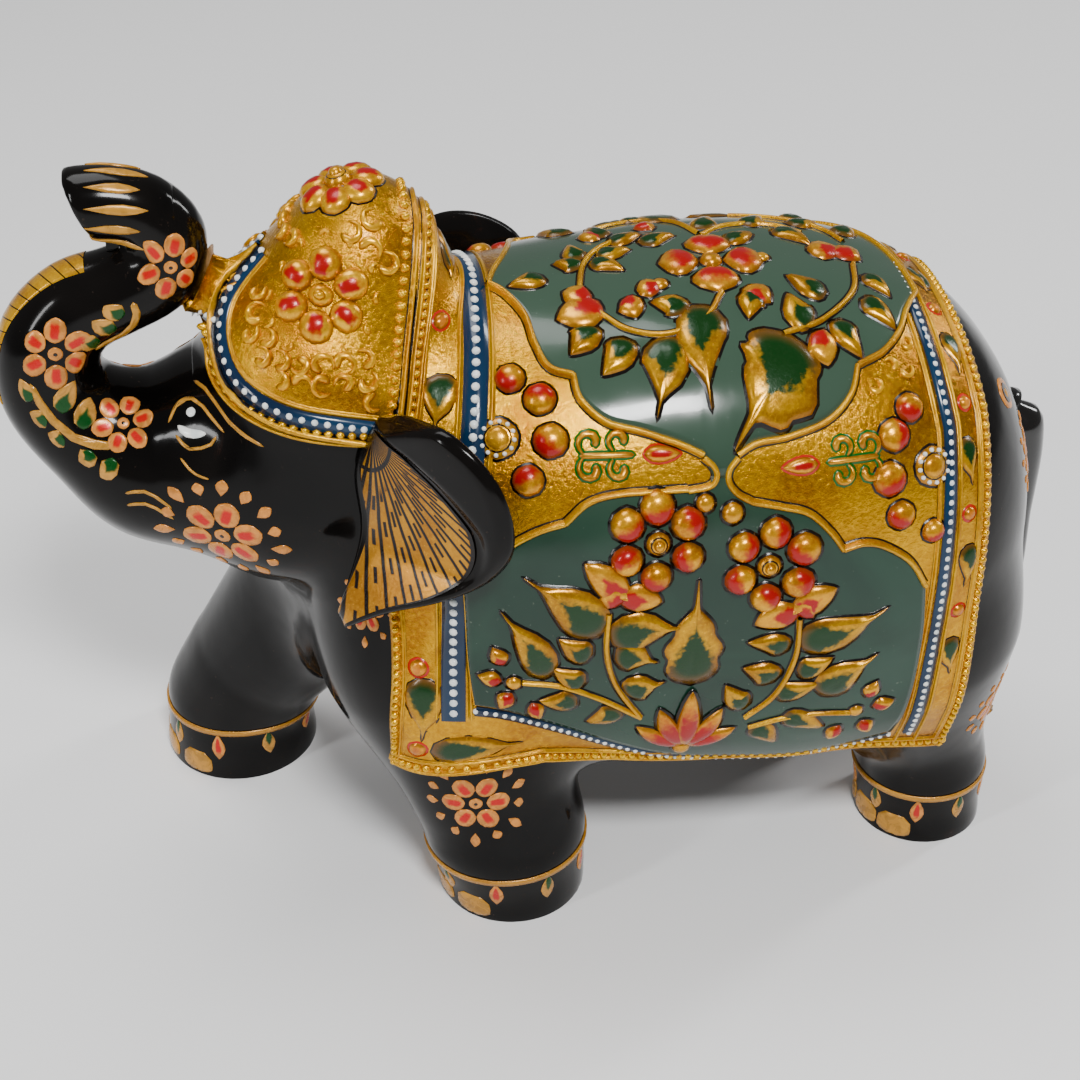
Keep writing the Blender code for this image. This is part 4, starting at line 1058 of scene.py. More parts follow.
def carve_ear(name, side):
    """A cupped leaf: its faces lie half a thickness either side of its middle, and its rim swells
    round the fan."""
    rows, columns = 72, 44
    down, across = np.meshgrid(np.linspace(0, 1, rows), np.linspace(0, 1, columns), indexing="ij")
    middle = ear_sheet(name, side, down, across)
    normal = np.cross(np.gradient(middle, axis=0), np.gradient(middle, axis=1))
    normal /= np.linalg.norm(normal, axis=2)[..., None] + 1e-9
    normal *= np.sign(normal[rows // 2, columns // 2, 1]) * side
    half = 2.0 * (1 - 0.3 * across ** 2) * np.sqrt(1 - across ** 7) * (0.45 + 0.55
            * ease(across, 0, 0.2))
    half *= np.sqrt(np.maximum(1 - np.abs(2 * down - 1) ** 12, 0))
    reach = np.interp(down, FAN_ROWS, FAN_REACH)
    swell = 0.9 * ease(across, reach, reach + 0.09) * (1 - ease(across, 0.93, 1.0)) * ease(down, 0.06,
            0.16)
    outer = middle + normal * (half + swell)[..., None]
    inner = middle - normal * half[..., None]
    shell = np.concatenate([outer, inner[:, ::-1]], 1)
    faces = grid_faces(rows, 2 * columns, wrap_columns=True)
    made = make_piece(f"carved_ear_{name}", shell, faces, LACQUER, (f"ear_{name}",))
    outward(made.data)
    # The fan: from the root to the inner rim, marked by direction and distance from its apex.
    down, share = np.meshgrid(np.linspace(0.1, 1, 90), np.linspace(0, 1, 46), indexing="ij")
    reach = np.interp(down, FAN_ROWS, FAN_REACH) - 0.02
    across = 0.06 + share * (reach - 0.06)
    middle = ear_sheet(name, side, down, across)
    normal = np.cross(np.gradient(middle, axis=0), np.gradient(middle, axis=1))
    normal /= np.linalg.norm(normal, axis=2)[..., None] + 1e-9
    normal *= np.sign(normal[45, 23, 1]) * side
    half = 2.0 * (1 - 0.3 * across ** 2) * (0.45 + 0.55 * ease(across, 0, 0.2))
    half *= np.sqrt(np.maximum(1 - np.abs(2 * down - 1) ** 12, 0))
    fan = middle + normal * (half + 0.14)[..., None]
    apex = fan[0, 0]
    away = fan - apex
    turn = np.arctan2(away[..., 0], -away[..., 2] + 1e-6)
    marks = {"turn": (turn - turn[-1, 0]) / (turn[40, -1] - turn[-1, 0]),
            "far": np.linalg.norm(away, axis=2), "share": share, "down": down}
    made = make_piece(f"ear_fan_{name}", fan, grid_faces(90, 46), FAN_GOLD, (), marks)
    normals = np.empty(len(made.data.polygons) * 3)
    made.data.polygons.foreach_get("normal", normals)
    if normals.reshape(-1, 3)[:, 1].mean() * side < 0:
        made.data.flip_normals()


TAIL_LINE = ((-1, -0.5, 92), (3.5, -1, 82), (6.5, -2, 64), (5, -6, 44), (4, -9, 30), (2.5, -12, 17))
TAIL_RADII = (0.2, 4.6, 4.3, 3.9, 3.6, 3.5, 3.5, 4.2, 4.6, 4.2, 3.0, 0.2)


def tube(line, radii, sides, flutes=0.0):
    """Rings round a line, in the plane across it, with the radius at each; flutes ripple the
    rings."""
    way = np.gradient(line, axis=0)
    way /= np.linalg.norm(way, axis=1)[:, None]
    side = np.cross(way, (0, 1, 0))
    side /= np.linalg.norm(side, axis=1)[:, None]
    up = np.cross(side, way)
    angle = np.linspace(0, 2 * math.pi, sides, endpoint=False)
    ripple = 1 + np.multiply.outer(np.broadcast_to(flutes, len(line)), np.cos(9 * angle))
    ring = side[:, None] * np.cos(angle)[:, None] + up[:, None] * np.sin(angle)[:, None]
    return line[:, None] + ring * (radii[:, None] * ripple)[..., None]


def carve_tail():
    """A tapered tube laid down the rump, with a fluted tuft."""
    rows = 90
    proud = np.interp(np.linspace(0, 1, rows), (0, 0.1, 1), (-2.5, 2.0, 2.2))
    line = BODY.settled(curve([(REAR + x, y, z) for x, y, z in TAIL_LINE], rows), proud)
    spots = np.linspace(0, 1, rows)
    radii = np.interp(spots, np.linspace(0, 1, len(TAIL_RADII)), TAIL_RADII)
    radii[:4] = (0.1, 2.6, 3.6, 4.2)
    radii[-4:] = (2.6, 2.0, 1.2, 0.1)
    tuft = ease(spots, 0.66, 0.72) * 0.05
    points = tube(line, radii, 36, tuft)
    marks = {"run": np.repeat(spots, 36),
            "across": np.tile(np.linspace(0, 1, 36, endpoint=False), rows)}
    made = make_piece("carved_tail", points, grid_faces(rows, 36, wrap_columns=True), TAIL_PAINT,
            ("tail",), marks)
    outward(made.data)


carve_wood()
for side_name, side_sign in SIDES.items():
    carve_ear(side_name, side_sign)
carve_tail()


# ---------------------------------------------------------------- cloth

def cloth_front(z):
    """Lengthwise place of the cloth's front edge at a height."""
    return np.interp(z, (42, 83.2, 117.2, 140.2), (-34, -32.5, -26.5, -22.5))


def cloth_rear(z):
    """Lengthwise place of the cloth's rear edge at a height."""
    return np.interp(z, (34.5, 106.2, 126.2), (76, 78, 75))


def hem_height(x):
    """Height of the hem at a lengthwise place."""
    return np.interp(x, (-34, -6, 6, 40, 76), (42, 43.5, 40.0, 36.8, 34.5))


SHOULDER_TURN = 0.6


def cast(turn, edge):
    """Points where rays from the torso's axis leave the carving, with the lengthwise place
    following their height."""
    z = np.full(turn.shape, 100.0)
    for _ in range(4):
        x = edge(z)
        angle = np.abs(turn) * 2.2
        way = np.stack([np.zeros_like(turn), np.sign(turn) * np.sin(angle), np.cos(angle)],
                -1).reshape(-1, 3)
        start = np.stack([x, np.zeros_like(turn), np.full(turn.shape, 72.0)], -1).reshape(-1, 3)
        low, high = np.full(len(way), 4.0), np.full(len(way), 80.0)
        for _ in range(14):
            middle = (low + high) / 2
            inside = BODY.distance(start + way * middle[:, None]) < 0
            low, high = np.where(inside, middle, low), np.where(inside, high, middle)
        points = start + way * low[:, None]
        z = points[:, 2].reshape(turn.shape)
    return points.reshape(*turn.shape, 3)


def around(turn, edge):
    """Points round the torso: turn is -1 at the left hem, 0 on the back and 1 at the right hem.
    Above the shoulder they come from rays, and below it each goes down the flank by an even share
    of the height left to the hem."""
    turn = np.asarray(turn, float)
    points = cast(np.clip(turn, -SHOULDER_TURN, SHOULDER_TURN), edge)
    share = np.clip((np.abs(turn) - SHOULDER_TURN) / (1 - SHOULDER_TURN), 0, 1)
    z = points[..., 2]
    low = z.copy()
    for _ in range(3):
        low = z + (hem_height(edge(low)) - z) * share
    x = edge(low)
    y = np.sign(turn) * read_map(SIDE_MAP, (BODY.axes[0], BODY.axes[2]), x, low)
    down = np.stack([x, y, low], -1)
    return np.where((share > 0)[..., None], down, points)


def lay_cloth():
    """The gilded ground from collar to rump: front to rear by hem to hem, with its borders turned
    down."""
    u = np.r_[0, np.linspace(0, 1, 200), 1]
    v = np.r_[-1, np.linspace(-1, 1, 280), 1]
    share, turn = np.meshgrid(u, v, indexing="ij")
    points = around(turn, lambda z: cloth_front(z) + share * (cloth_rear(z) - cloth_front(z)))
    levels = np.full(share.shape, CLOTH)
    levels[0] = levels[-1] = levels[:, 0] = levels[:, -1] = SUNK
    laid = BODY.settled(points.reshape(-1, 3), levels.reshape(-1), 3)
    made = make_piece("gilded_caparison", laid, grid_faces(*share.shape), GROUND,
            ("caparison",))
    return shells_out(made)


def girth(off, edge, count=260):
    """A line hem to hem over the back, at a distance from one of the cloth's upright edges."""
    return around(np.linspace(-1, 1, count), lambda z: edge(z) + off)


def ribbon_profile(width, height, base):
    """Profile of a flat ribbon with its edges turned down."""
    half = width / 2
    return (-half - 0.05, -half, 0, half, half + 0.05), (SUNK, base + height, base + height,
            base + height, SUNK)


def beads(batch, points, radius, height, around_count=8):
    """Small domes set side by side on the carving, each a ring of points round its centre."""
    points = BODY.settled(points, batch.base)
    normal = BODY.slope(points)
    e1 = np.cross(normal, (0.13, 0.31, 0.94))
    e1 /= np.linalg.norm(e1, axis=1)[:, None]
    e2 = np.cross(normal, e1)
    angle = np.linspace(0, 2 * math.pi, around_count, endpoint=False)
    rings = np.array((0.0, 0.62, 1.0, 1.06))
    levels = height * np.array((1.0, 0.74, 0.1, 0.0)) - np.array((0, 0, 0, 0.3))
    ring = e1[:, None] * np.cos(angle)[None, :, None] + e2[:, None] * np.sin(angle)[None, :, None]
    starts = points[:, None, None] + ring[:, None] * (radius * rings)[None, :, None, None]
    count = len(points)
    faces = grid_faces(4, around_count, wrap_columns=True)
    faces = (faces[None] + 4 * around_count * np.arange(count)[:, None, None]).reshape(-1, 4)
    level = np.broadcast_to(levels[None, :, None] + batch.base, starts.shape[:3])
    blank = np.zeros(starts.shape[:3])
    reach = np.broadcast_to(rings[None, :, None], starts.shape[:3])
    batch.add(starts.reshape(-1, 3), level.reshape(-1), faces,
            dict(reach=np.minimum(reach, 1.0), along=blank + 0.5, across=blank, wash=blank, tone=blank))


def evenly(line, gap):
    """Points along a line, a gap apart."""
    run = np.r_[0, np.cumsum(np.linalg.norm(np.diff(line, axis=0), axis=1))]
    even = np.linspace(0, run[-1], max(int(run[-1] / gap), 2))
    return np.stack([np.interp(even, run, line[:, i]) for i in range(3)], 1)


lay_cloth()


# ---------------------------------------------------------------- strips and motifs

class Strips:
    """Profile strips gathered and laid as one piece."""

    def __init__(self):
        self.points, self.faces, self.marks, self.count = [], [], {"run": [], "across": []}, 0

    def add(self, path, across, heights, closed=False):
        if closed:
            path = np.vstack([path, path[:1]])
        points, marks = strip(path, across, heights)
        columns = len(across)
        if closed:
            points[-columns:] = points[:columns]
        self.points.append(points)
        self.faces.append(grid_faces(len(path), columns) + self.count)
        for key, values in marks.items():
            self.marks[key].append(values)
        self.count += len(points)

    def lay(self, name, finish, slot, replaced=()):
        marks = {key: np.concatenate(values) for key, values in self.marks.items()}
        made = make_piece(name, np.concatenate(self.points), np.concatenate(self.faces), finish,
                replaced, marks)
        return shells_out(made)


def through(chart, line, count=40):
    """Points on the carving along a curve drawn in a chart."""
    line = curve(line, count) if len(line) > 2 else np.linspace(line[0], line[-1], count)
    return chart(line[:, 0], line[:, 1])


def leaf(batch, chart, base, tip, width, bend, height=0.9, shape=LEAF, **more):
    """A leaf from base to tip, bowed sideways by bend and hooked back at its tip."""
    base, tip = np.array(base, float), np.array(tip, float)
    way = tip - base
    side = np.array((-way[1], way[0])) / np.linalg.norm(way)
    line = [base, base + way * 0.35 + side * bend, base + way * 0.72 + side * bend * 0.55, tip]
    batch.stroke(chart, line, 1.5 * width * shape, height,
            **{"wash": 1.0, "groove": 0.12, "power": 0.42, **more})


def rosette(batch, centres, chart, middle, petals, radius, height, **more):
    """Bosses round a smaller gilt boss with a ring in it."""
    for i, petal in enumerate(petals):
        batch.disc(chart, petal, radius * (1 + 0.05 * math.sin(5.0 * i + petal[0])), height, wash=1.0,
                **{"power": 0.5, **more})
    centres.disc(chart, middle, radius * 0.72, height * 0.6)
    centres.disc(chart, middle, radius * 0.34, height * 0.5, base=height * 0.45)


ON_GREEN, ON_GOLD = CLOTH + PANEL, CLOTH
STEM = ridge(0.95, 0.6, base=ON_GREEN, line=0.36)
FRAME = ridge(1.25, 1.3, base=CLOTH, line=0.38)
LIP = ridge(0.7, 0.5, base=CLOTH, line=0.3)


def top_of(side):
    """Plan chart with its crosswise places measured towards one flank."""
    return lambda a, b: top(a, side * b)


SADDLE_ARCS = {
    LEFT: (((-10, 3.5), (-7.5, 6), (-4.5, 12), (-3.4, 18), (-1.5, 22.5), (2.5, 24.5)),
        ((2.5, 24.5), (3.2, 28), (7, 31.3), (13, 33), (20, 35), (23.5, 36.1))),
    RIGHT: (((-10, -3.5), (-8.5, 1), (-6, 7), (-4.2, 13), (-3.2, 18.5), (-1.5, 22.5), (2.5, 24.5)),
        ((2.5, 24.5), (3.2, 28), (7, 31.3), (13, 33), (20, 35), (23.5, 36.1))),
}
SADDLE_REAR_ARCS = {
    LEFT: (((29.5, 36.4), (33, 35.5), (39, 35), (46, 33.5), (50.5, 30.5), (52.5, 26.5)),
        ((52.5, 26.5), (58, 23.5), (62, 19), (64.5, 14), (68, 8))),
    RIGHT: (((29.5, 36.4), (33, 35.5), (39, 35), (46, 33.5), (50.5, 30.5), (52.5, 26.5)),
        ((52.5, 26.5), (58, 22.5), (63, 16), (66, 8), (67.5, 0), (68, -8))),
}
FRONT_TIP = ((23.5, 36.1, 107.6), (25.2, 37.1, 106.2), (25.6, 38.0, 104.6), (24.3, 38.8, 103.3),
        (20.5, 39.2, 102.9))
REAR_TIP = ((29.5, 36.4, 107.2), (27.9, 37.4, 105.6), (27.7, 38.4, 103.6), (29.3, 39.4, 101.6),
        (32, 39.8, 100))
PANEL_ARCS = (
    ((20.5, 102.9), (16, 102.8), (8, 102.6), (3, 101.4), (-1, 98.2)),
    ((-1, 98.2), (-5, 97), (-9, 95), (-13.5, 91.8), (-18.6, 88.5)),
    ((-18.6, 88.5), (-18.4, 80), (-18.2, 70), (-17.6, 60)),
    ((-17.6, 60), (-13, 59.2), (-8, 57), (-1, 53), (8, 47.4), (17, 42.8), (25, 40.2), (33, 38.7),
     (40, 38),
     (48, 38), (56, 39.8), (63, 42.8)),
    ((63, 42.8), (64.4, 50), (65, 59), (65, 70), (64.3, 80.5)),
    ((64.3, 80.5), (61, 86), (56, 89.8), (52, 91), (48.3, 90.3)),
    ((48.3, 90.3), (46, 93.6), (42, 97.3), (37, 98.8), (32, 100)),
)
PANEL_NECK = (((32, 100), (29.3, 101.6), (28.1, 103.6), (28.0, 106.5)),
        ((25.2, 106.5), (24.9, 104.6), (23.9, 103.4), (20.5, 102.9)))
SADDLE_NECK = ((25.2, 38.0), (28.2, 38.0))


def lay_panels():
    """The green side panels and saddle panel, each inside its gilded ridges."""
    fore, aft = ({side: [through(top_of(side), arc, 30) for arc in arcs[side]]
            for side in (LEFT, RIGHT)} for arcs in (SADDLE_ARCS, SADDLE_REAR_ARCS))
    for name, side in SIDES.items():
        chart = flank(side)
        arcs = [through(chart, arc, 34) for arc in PANEL_ARCS]
        plan = [curve(arc, 40) for arc in PANEL_ARCS] + [curve(arc, 8) for arc in PANEL_NECK]
        filled(f"green_side_panel_{name}", np.concatenate(plan), chart, ON_GREEN - 0.06, GREEN_ENAMEL,
               (f"side_panel_{name}",), centre=(26, 72), rings=44)
        ridges = Strips()
        for arc in (arcs[0], arcs[1], arcs[5][::-1], arcs[6][::-1]):
            ridges.add(arc, *FRAME)
        for arc in arcs[2:5]:
            ridges.add(arc, *LIP)
        ridges.lay(f"side_panel_ridge_{name}", STRIP_INKED, "gold_leaf", (f"side_frame_{name}",))
    ridges = Strips()
    for side in (LEFT, RIGHT):
        tips = [curve(np.array(tip) * (1, side, 1), 20) for tip in (FRONT_TIP, REAR_TIP)]
        for arc in (*fore[side], *tips, *aft[side]):
            ridges.add(arc, *FRAME)
    halves = {side: np.concatenate([*fore[side], through(top_of(side), SADDLE_NECK, 4), *aft[side]])
            for side in (LEFT, RIGHT)}
    outline = np.concatenate([halves[LEFT], halves[RIGHT][::-1]])
    filled("green_saddle_panel", outline[:, :2], top, ON_GREEN, GREEN_ENAMEL,
           ("saddle_panel",), centre=(28, 0), rings=40)
    ridges.lay("saddle_panel_ridge", STRIP_INKED, "gold_leaf", ("saddle_frame",))


lay_panels()

SIDE_LEAVES = (
    # base, tip, half width, bend, height, shape
    ((4.5, 76), (-8.5, 88.5), 2.6, -1.6, HOOK), ((-5, 66.5), (-12.5, 81.5), 1.9, -1.4, HOOK),
    ((7, 74), (20.5, 76.5), 2.5, 1.8, HOOK), ((41, 72.5), (57.5, 77.5), 2.3, -1.6, HOOK),
    ((47, 58), (56.5, 67), 2.2, 1.2, HOOK),
    ((3.5, 72), (-2.5, 75.8), 2.0, 0.6, LEAF), ((2.5, 65.5), (-3.5, 69.0), 1.8, 0.6, LEAF),
    ((1, 61.5), (-6, 61), 1.9, 0.7, LEAF), ((8.5, 58.2), (3.0, 54.6), 1.9, 0.7, LEAF),
    ((7.5, 70.5), (15.5, 69), 1.9, 1.0, HOOK), ((10, 61.5), (17, 64), 1.9, 0.8, HOOK),
    ((39.5, 70), (32, 72), 1.8, -0.8, LEAF), ((41.5, 65), (48, 67.5), 1.9, -0.6, LEAF),
    ((37.5, 62.5), (31.5, 66), 2.1, -0.8, LEAF), ((38, 59.5), (46, 61.5), 1.8, -0.6, LEAF),
    ((33.5, 57), (28.5, 62), 1.9, 1.0, LEAF), ((40, 52.5), (48.5, 48.5), 1.9, 0.7, LEAF),
    ((34.5, 50), (40, 44.5), 1.9, 0.6, LEAF),
)
SIDE_STEMS = (
    ((13, 55), (8, 64), (6, 72), (6.2, 81)), ((13, 55), (5, 61), (-2, 64.5), (-9, 65.5)),
    ((33, 53), (38, 59), (41, 68), (41.2, 77)), ((34, 50), (41, 52.5), (47, 53), (53, 52)),
)


def garden(name, side):
    """Flowers, leaves and stems on a green side panel."""
    chart = flank(side)
    centres = Relief(ON_GREEN)
    sides = (("front", (15, 94), ((15, 100.3), (20.3, 97.3), (20.3, 91.2), (14.6, 87.8),
            (9.4, 91.3), (9.6, 97.6))),
            ("rear", (35, 88.3), ((36, 94.5), (41.2, 91.2), (40.4, 84.8), (34.6, 82), (29.8, 86),
            (30.3, 92.3))))
    for where, middle, petals in sides:
        batch = Relief(ON_GREEN)
        rosette(batch, centres, chart, middle, petals, 3.0, 2.3)
        batch.lay(f"{where}_rosette_bosses_{name}", RED_BOSSES, "red_gold_relief",
                (f"{where}_rosette_{name}",))
    centres.disc(chart, (23.4, 100.6), 1.6, 1.3)
    centres.disc(chart, (28.2, 98.6), 1.9, 1.4)
    centres.disc(chart, (21.6, 44.6), 1.7, 1.0)
    for middle in ((-10.5, 65.4), (54.2, 52.3)):
        centres.disc(chart, middle, 1.4, 0.9)
    centres.lay(f"gilt_centres_{name}", GOLD_RELIEF, "gold_leaf")
    leaves = Relief(ON_GREEN)
    for base, tip, wide, bend, shape in SIDE_LEAVES:
        leaf(leaves, chart, base, tip, wide, bend, 1.0, shape, around=22)
    leaves.lay(f"panel_leaves_{name}", GREEN_LEAVES, "gold_leaf")
    middle_leaf = Relief(ON_GREEN)
    middle_leaf.stroke(chart, [(21.8, 63), (22, 72), (22.4, 86.5)], 4.4 * LOBED,
            1.0, wash=1.0, around=64, groove=0.2)
    middle_leaf.lay(f"centre_leaf_gilt_{name}", GREEN_LEAVES, "gold_leaf", (f"centre_leaf_{name}",))
    lotus = Relief(ON_GREEN)
    for tip, wide, lift in (((12.5, 52.2), 2.0, 0), ((31.5, 50.0), 2.0, 0), ((16.5, 57.0), 2.1, 0.25),
            ((28.3, 56.2), 2.1, 0.25), ((22.3, 61.5), 2.2, 0.5)):
        lotus.stroke(chart, [(21.9, 46.0),
                ((21.9 + tip[0]) / 2 + (tip[0] - 22) * 0.12, (46.0 + tip[1]) / 2), tip],
                wide * PETAL, 1.3, wash=1.0, base=lift)
    lotus.lay(f"lotus_petals_{name}", RED_PETALS, "red_gold_relief", (f"lotus_{name}",))
    buds = Relief(ON_GREEN)
    for middle in ((-13, 71.5), (-14.6, 66.3), (-12.2, 61.4), (-6.6, 58.6), (56.5, 58),
            (59.4, 53.5), (57, 47.0), (50.8, 46.2)):
        way = np.array(middle) - ((-9.5, 65) if middle[0] < 20 else (54, 52))
        start = np.array(middle) - way / np.linalg.norm(way) * 2.1
        buds.stroke(chart, [start, start + way / np.linalg.norm(way) * 4.3], 1.75 * DROP[::-1], 1.2,
                wash=1.0)
    # Red-based bells under the two flowers.
    for base, tips in (((8.3, 82.8), ((2.0, 91.2), (15.8, 82.6), (9, 86.4))),
            ((41.0, 77.5), ((47.5, 83.0), (33, 76.0), (40, 81)))):
        for tip in tips:
            bend = 1.1 if tip[0] < base[0] else -1.1
            leaf(buds, chart, base, tip, 2.0, -bend, 1.1, PETAL)
    buds.lay(f"red_buds_{name}", RED_BUDS, "red_gold_relief")
    stems = Strips()
    for line in SIDE_STEMS:
        stems.add(through(chart, line), *STEM)
    stems.lay(f"panel_stems_{name}", STEM_INKED, "gold_leaf")


for side_name, side_sign in SIDES.items():
    garden(side_name, side_sign)


def above(path, low):
    """The part of a line that lies over a height."""
    return path[path[:, 2] > low]


def lay_bands():
    """Blue and dark bands with rows of white dots, gilt lines, and beads along the cloth's edges.
    """
    blue, dark, lines, gilt = Strips(), Strips(), Strips(), Strips()
    dots, small, bead = (Relief(CLOTH + lift) for lift in (0.55, 0.4, 0.0))
    front_dots = above(girth(12.2, cloth_front, 600), 57.6)
    blue.add(above(girth(12.2, cloth_front, 400), 56.2), *ribbon_profile(4.4, 0.5, CLOTH))
    rear_line = above(girth(-9.0, cloth_rear, 400), 40.5)
    dark.add(rear_line, *ribbon_profile(2.4, 0.45, CLOTH))
    blue.lay("blue_front_band", BLUE_ENAMEL, "blue_enamel", ("front_band",))
    beads(dots, evenly(front_dots, 2.15), 0.78, 0.42)
    beads(small, evenly(rear_line, 1.75), 0.56, 0.42)
    for off in (9.4, 15.1):
        lines.add(above(girth(off, cloth_front, 400), 56.2), *ridge(0.55, 0.45, base=CLOTH, line=0.25))
    for off in (-11.1, -6.9, -2.6):
        lines.add(girth(off, cloth_rear), *ridge(0.6, 0.45, base=CLOTH, line=0.25))
    for edge, off in ((cloth_front, 1.3), (cloth_rear, -1.0)):
        path = girth(off, edge, 500)
        beads(bead, evenly(path, 1.75), 0.84, 0.95)
        lines.add(girth(off * 2.15, edge), *ridge(0.5, 0.35, base=CLOTH, line=0.25))
    for name, side in SIDES.items():
        chart = flank(side)
        bottom = through(chart, [(x, z - 1.7) for x, z in PANEL_ARCS[3]], 90)
        dark.add(bottom, *ribbon_profile(1.9, 0.4, CLOTH))
        beads(small, evenly(bottom, 1.7), 0.5, 0.4)
        hem = Strips()
        x = np.linspace(-33.2, 75.5, 160)
        low = chart(x, hem_height(x) + 1.1)
        beads(bead, evenly(low, 1.8), 0.86, 0.95)
        hem.add(chart(x, hem_height(x) + 0.1), *ridge(1.0, 0.8, base=CLOTH - 0.1, line=0.2))
        hem.lay(f"hem_cord_gilt_{name}", STRIP_GOLD, "gold_leaf", (f"hem_cord_{name}",))
        gilt.add(chart(x, hem_height(x) + 2.7), *ridge(0.7, 0.5, base=CLOTH, line=0.25))
    dark.lay("dark_rear_band", BLUE_ENAMEL, "blue_enamel", ("rear_band",))
    lines.lay("band_lines", STEM_INKED, "gold_leaf")
    gilt.lay("hem_lines", STEM_INKED, "gold_leaf")
    dots.lay("front_band_dots", WHITE_ENAMEL, "white_enamel")
    small.lay("rear_band_dots", WHITE_ENAMEL, "white_enamel")
    bead.lay("edge_beads", BEAD_GOLD, "gold_leaf")


lay_bands()


# ---------------------------------------------------------------- saddle

SADDLE_LEAVES = (
    # base, tip, half width, bend, shape
    ((41, -22), (29, -36), 4.0, 1.5, LOBED), ((28.5, -16), (25.5, -32), 2.6, -2.2, HOOK),
    ((18, -21), (16, -32), 2.4, 1.4, HOOK), ((6, -16.5), (2.5, -21.5), 2.2, 0.8, LEAF),
    ((12, -20), (7.5, -25.5), 2.2, 0.8, LEAF), ((23, -17), (18, -13.5), 1.9, -1.0, LEAF),
    ((38, -14), (34.5, -19), 1.9, -1.2, LEAF), ((46, -20), (42.5, -13.5), 2.3, 1.2, LEAF),
    ((50, -13), (43.5, -8.5), 2.0, 0.8, LEAF), ((51, -19), (53.5, -25.5), 1.9, -0.8, LEAF),
    ((56, -14), (61, -19.5), 1.9, 0.6, LEAF), ((58, -7), (62, -12), 1.6, 0.6, LEAF),
    ((35, 5), (41, 7), 1.8, -0.8, LEAF), ((45, 9), (51, 3), 2.0, 0.8, LEAF),
        ((9, 0), (15, -3.5), 1.8, 0.8, LEAF),
    ((11, 4), (17.5, 4), 1.8, -0.8, LEAF), ((7, -1.5), (2.5, 1), 1.8, -0.6, LEAF),
        ((8, 2), (6.5, 8), 1.7, 0.6, LEAF),
    ((14, 8.5), (20.5, 10), 1.8, -0.6, LEAF), ((20, 5), (26.5, 8), 1.7, 0.6, LEAF),
        ((33, 10), (35, 17), 2.1, 0.8, LEAF),
    ((40, 12), (45, 17), 1.8, -0.6, LEAF), ((14, 11), (12, 18), 2.0, 0.6, LEAF),
        ((0, -2.5), (-6.5, -5), 1.8, 0.6, LEAF),
    ((41, 22), (29, 36), 4.0, -1.5, LOBED), ((28.5, 18), (25.5, 32), 2.6, 2.2, HOOK),
    ((17, 22), (15, 32), 2.4, -1.4, HOOK), ((7, 16), (2.5, 21.5), 2.2, -0.8, LEAF),
        ((52, 17), (53.5, 25), 2.0, 0.8, LEAF),
    ((58, 10), (61.5, 17), 1.8, -0.6, LEAF), ((22, 20), (21.5, 27), 2.0, 0.8, LEAF),
        ((50, 12), (55.5, 15), 1.8, 0.6, LEAF),
)
SADDLE_STEMS = (
    ((31, -12.5), (27, -18), (20, -20.5), (13, -18.5), (8, -13.5)),
        ((40, -22), (48, -19), (55, -12), (57.5, -3)),
    ((6, -8), (8, 0), (12, 6), (19, 10.5)), ((31, 7), (37, 11.5), (45, 12), (50.5, 8)),
    ((31, 8), (27, 17), (19, 20.5), (11, 16)), ((40, 22), (48, 18), (55, 12), (58, 6)),
)


def saddle_vine():
    """The red flower on the back with the leafed stems that curl round it."""
    heart, leaves, buds, centre = (Relief(ON_GREEN) for _ in range(4))
    stems = Strips()
    middle = np.array((31.0, -3.0))
    notch = np.sin(math.pi * SPREAD ** 1.1) ** 0.7 * np.r_[np.ones(11), 0.95, 0.0]
    for angle in (0.1, 1.65, 3.2, 4.75):
        heart.petal(top, middle, angle, 2.2, 9.6, 4.4, 1.7, wash=1.0, shape=notch, groove=0.15)
    heart.lay("saddle_flower_petals", RED_PETALS, "red_gold_relief", ("saddle_blossom",))
    centre.disc(top, middle, 2.1, 1.5)
    centre.disc(top, (20.5, -9), 1.5, 0.9)
    centre.disc(top, (40.5, -2.5), 1.4, 0.9)
    centre.lay("saddle_flower_centre", GOLD_RELIEF, "gold_leaf")
    for base, tip, wide, bend, shape in SADDLE_LEAVES:
        leaf(leaves, top, base, tip, wide, bend, 1.2, shape, around=56 if shape is LOBED else 22)
    leaves.lay("saddle_leaves", GREEN_LEAVES, "gold_leaf")
    for base, tip, wide in (((9, -11.5), (1.0, -14.5), 2.6), ((8, -10), (3, -8), 2.0),
            ((55, -1), (51.5, 4), 2.3), ((56, -2), (59.5, 3), 2.0),
            ((45, -22), (47, -27), 2.0), ((13, -12), (15, -16.5), 1.7), ((20, -11), (17.5, -7.5), 1.6),
            ((36, -16), (39.5, -12), 1.9), ((21, 12), (24, 14), 1.4), ((13, 12), (9, 12.5), 1.5)):
        leaf(buds, top, base, tip, wide, 0.6, 1.2, PETAL)
    buds.lay("saddle_red_buds", RED_BUDS, "red_gold_relief")
    for line in SADDLE_STEMS:
        stems.add(through(top, line), *STEM)
    stems.lay("saddle_stems", STEM_INKED, "gold_leaf")


saddle_vine()


# ---------------------------------------------------------------- gold fields

def curl(batch, chart, centre, radius, turn, sweep=4.6, wide=0.42, height=0.6, flip=1, **more):
    """A comma of gilded paste: a spiral that winds in from its tail to a fat head."""
    t = np.linspace(0, 1, 9)
    angle = turn + flip * sweep * t
    reach = radius * (1 - 0.62 * t)
    line = np.array(centre) + np.stack([np.cos(angle) * reach, np.sin(angle) * reach], 1)
    widths = wide * np.array((0.3, 0.6, 0.8, 0.9, 1.0, 1.1, 1.25, 1.5, 1.6, 1.4, 0.9))
    batch.stroke(chart, line, widths, height, around=24, **more)


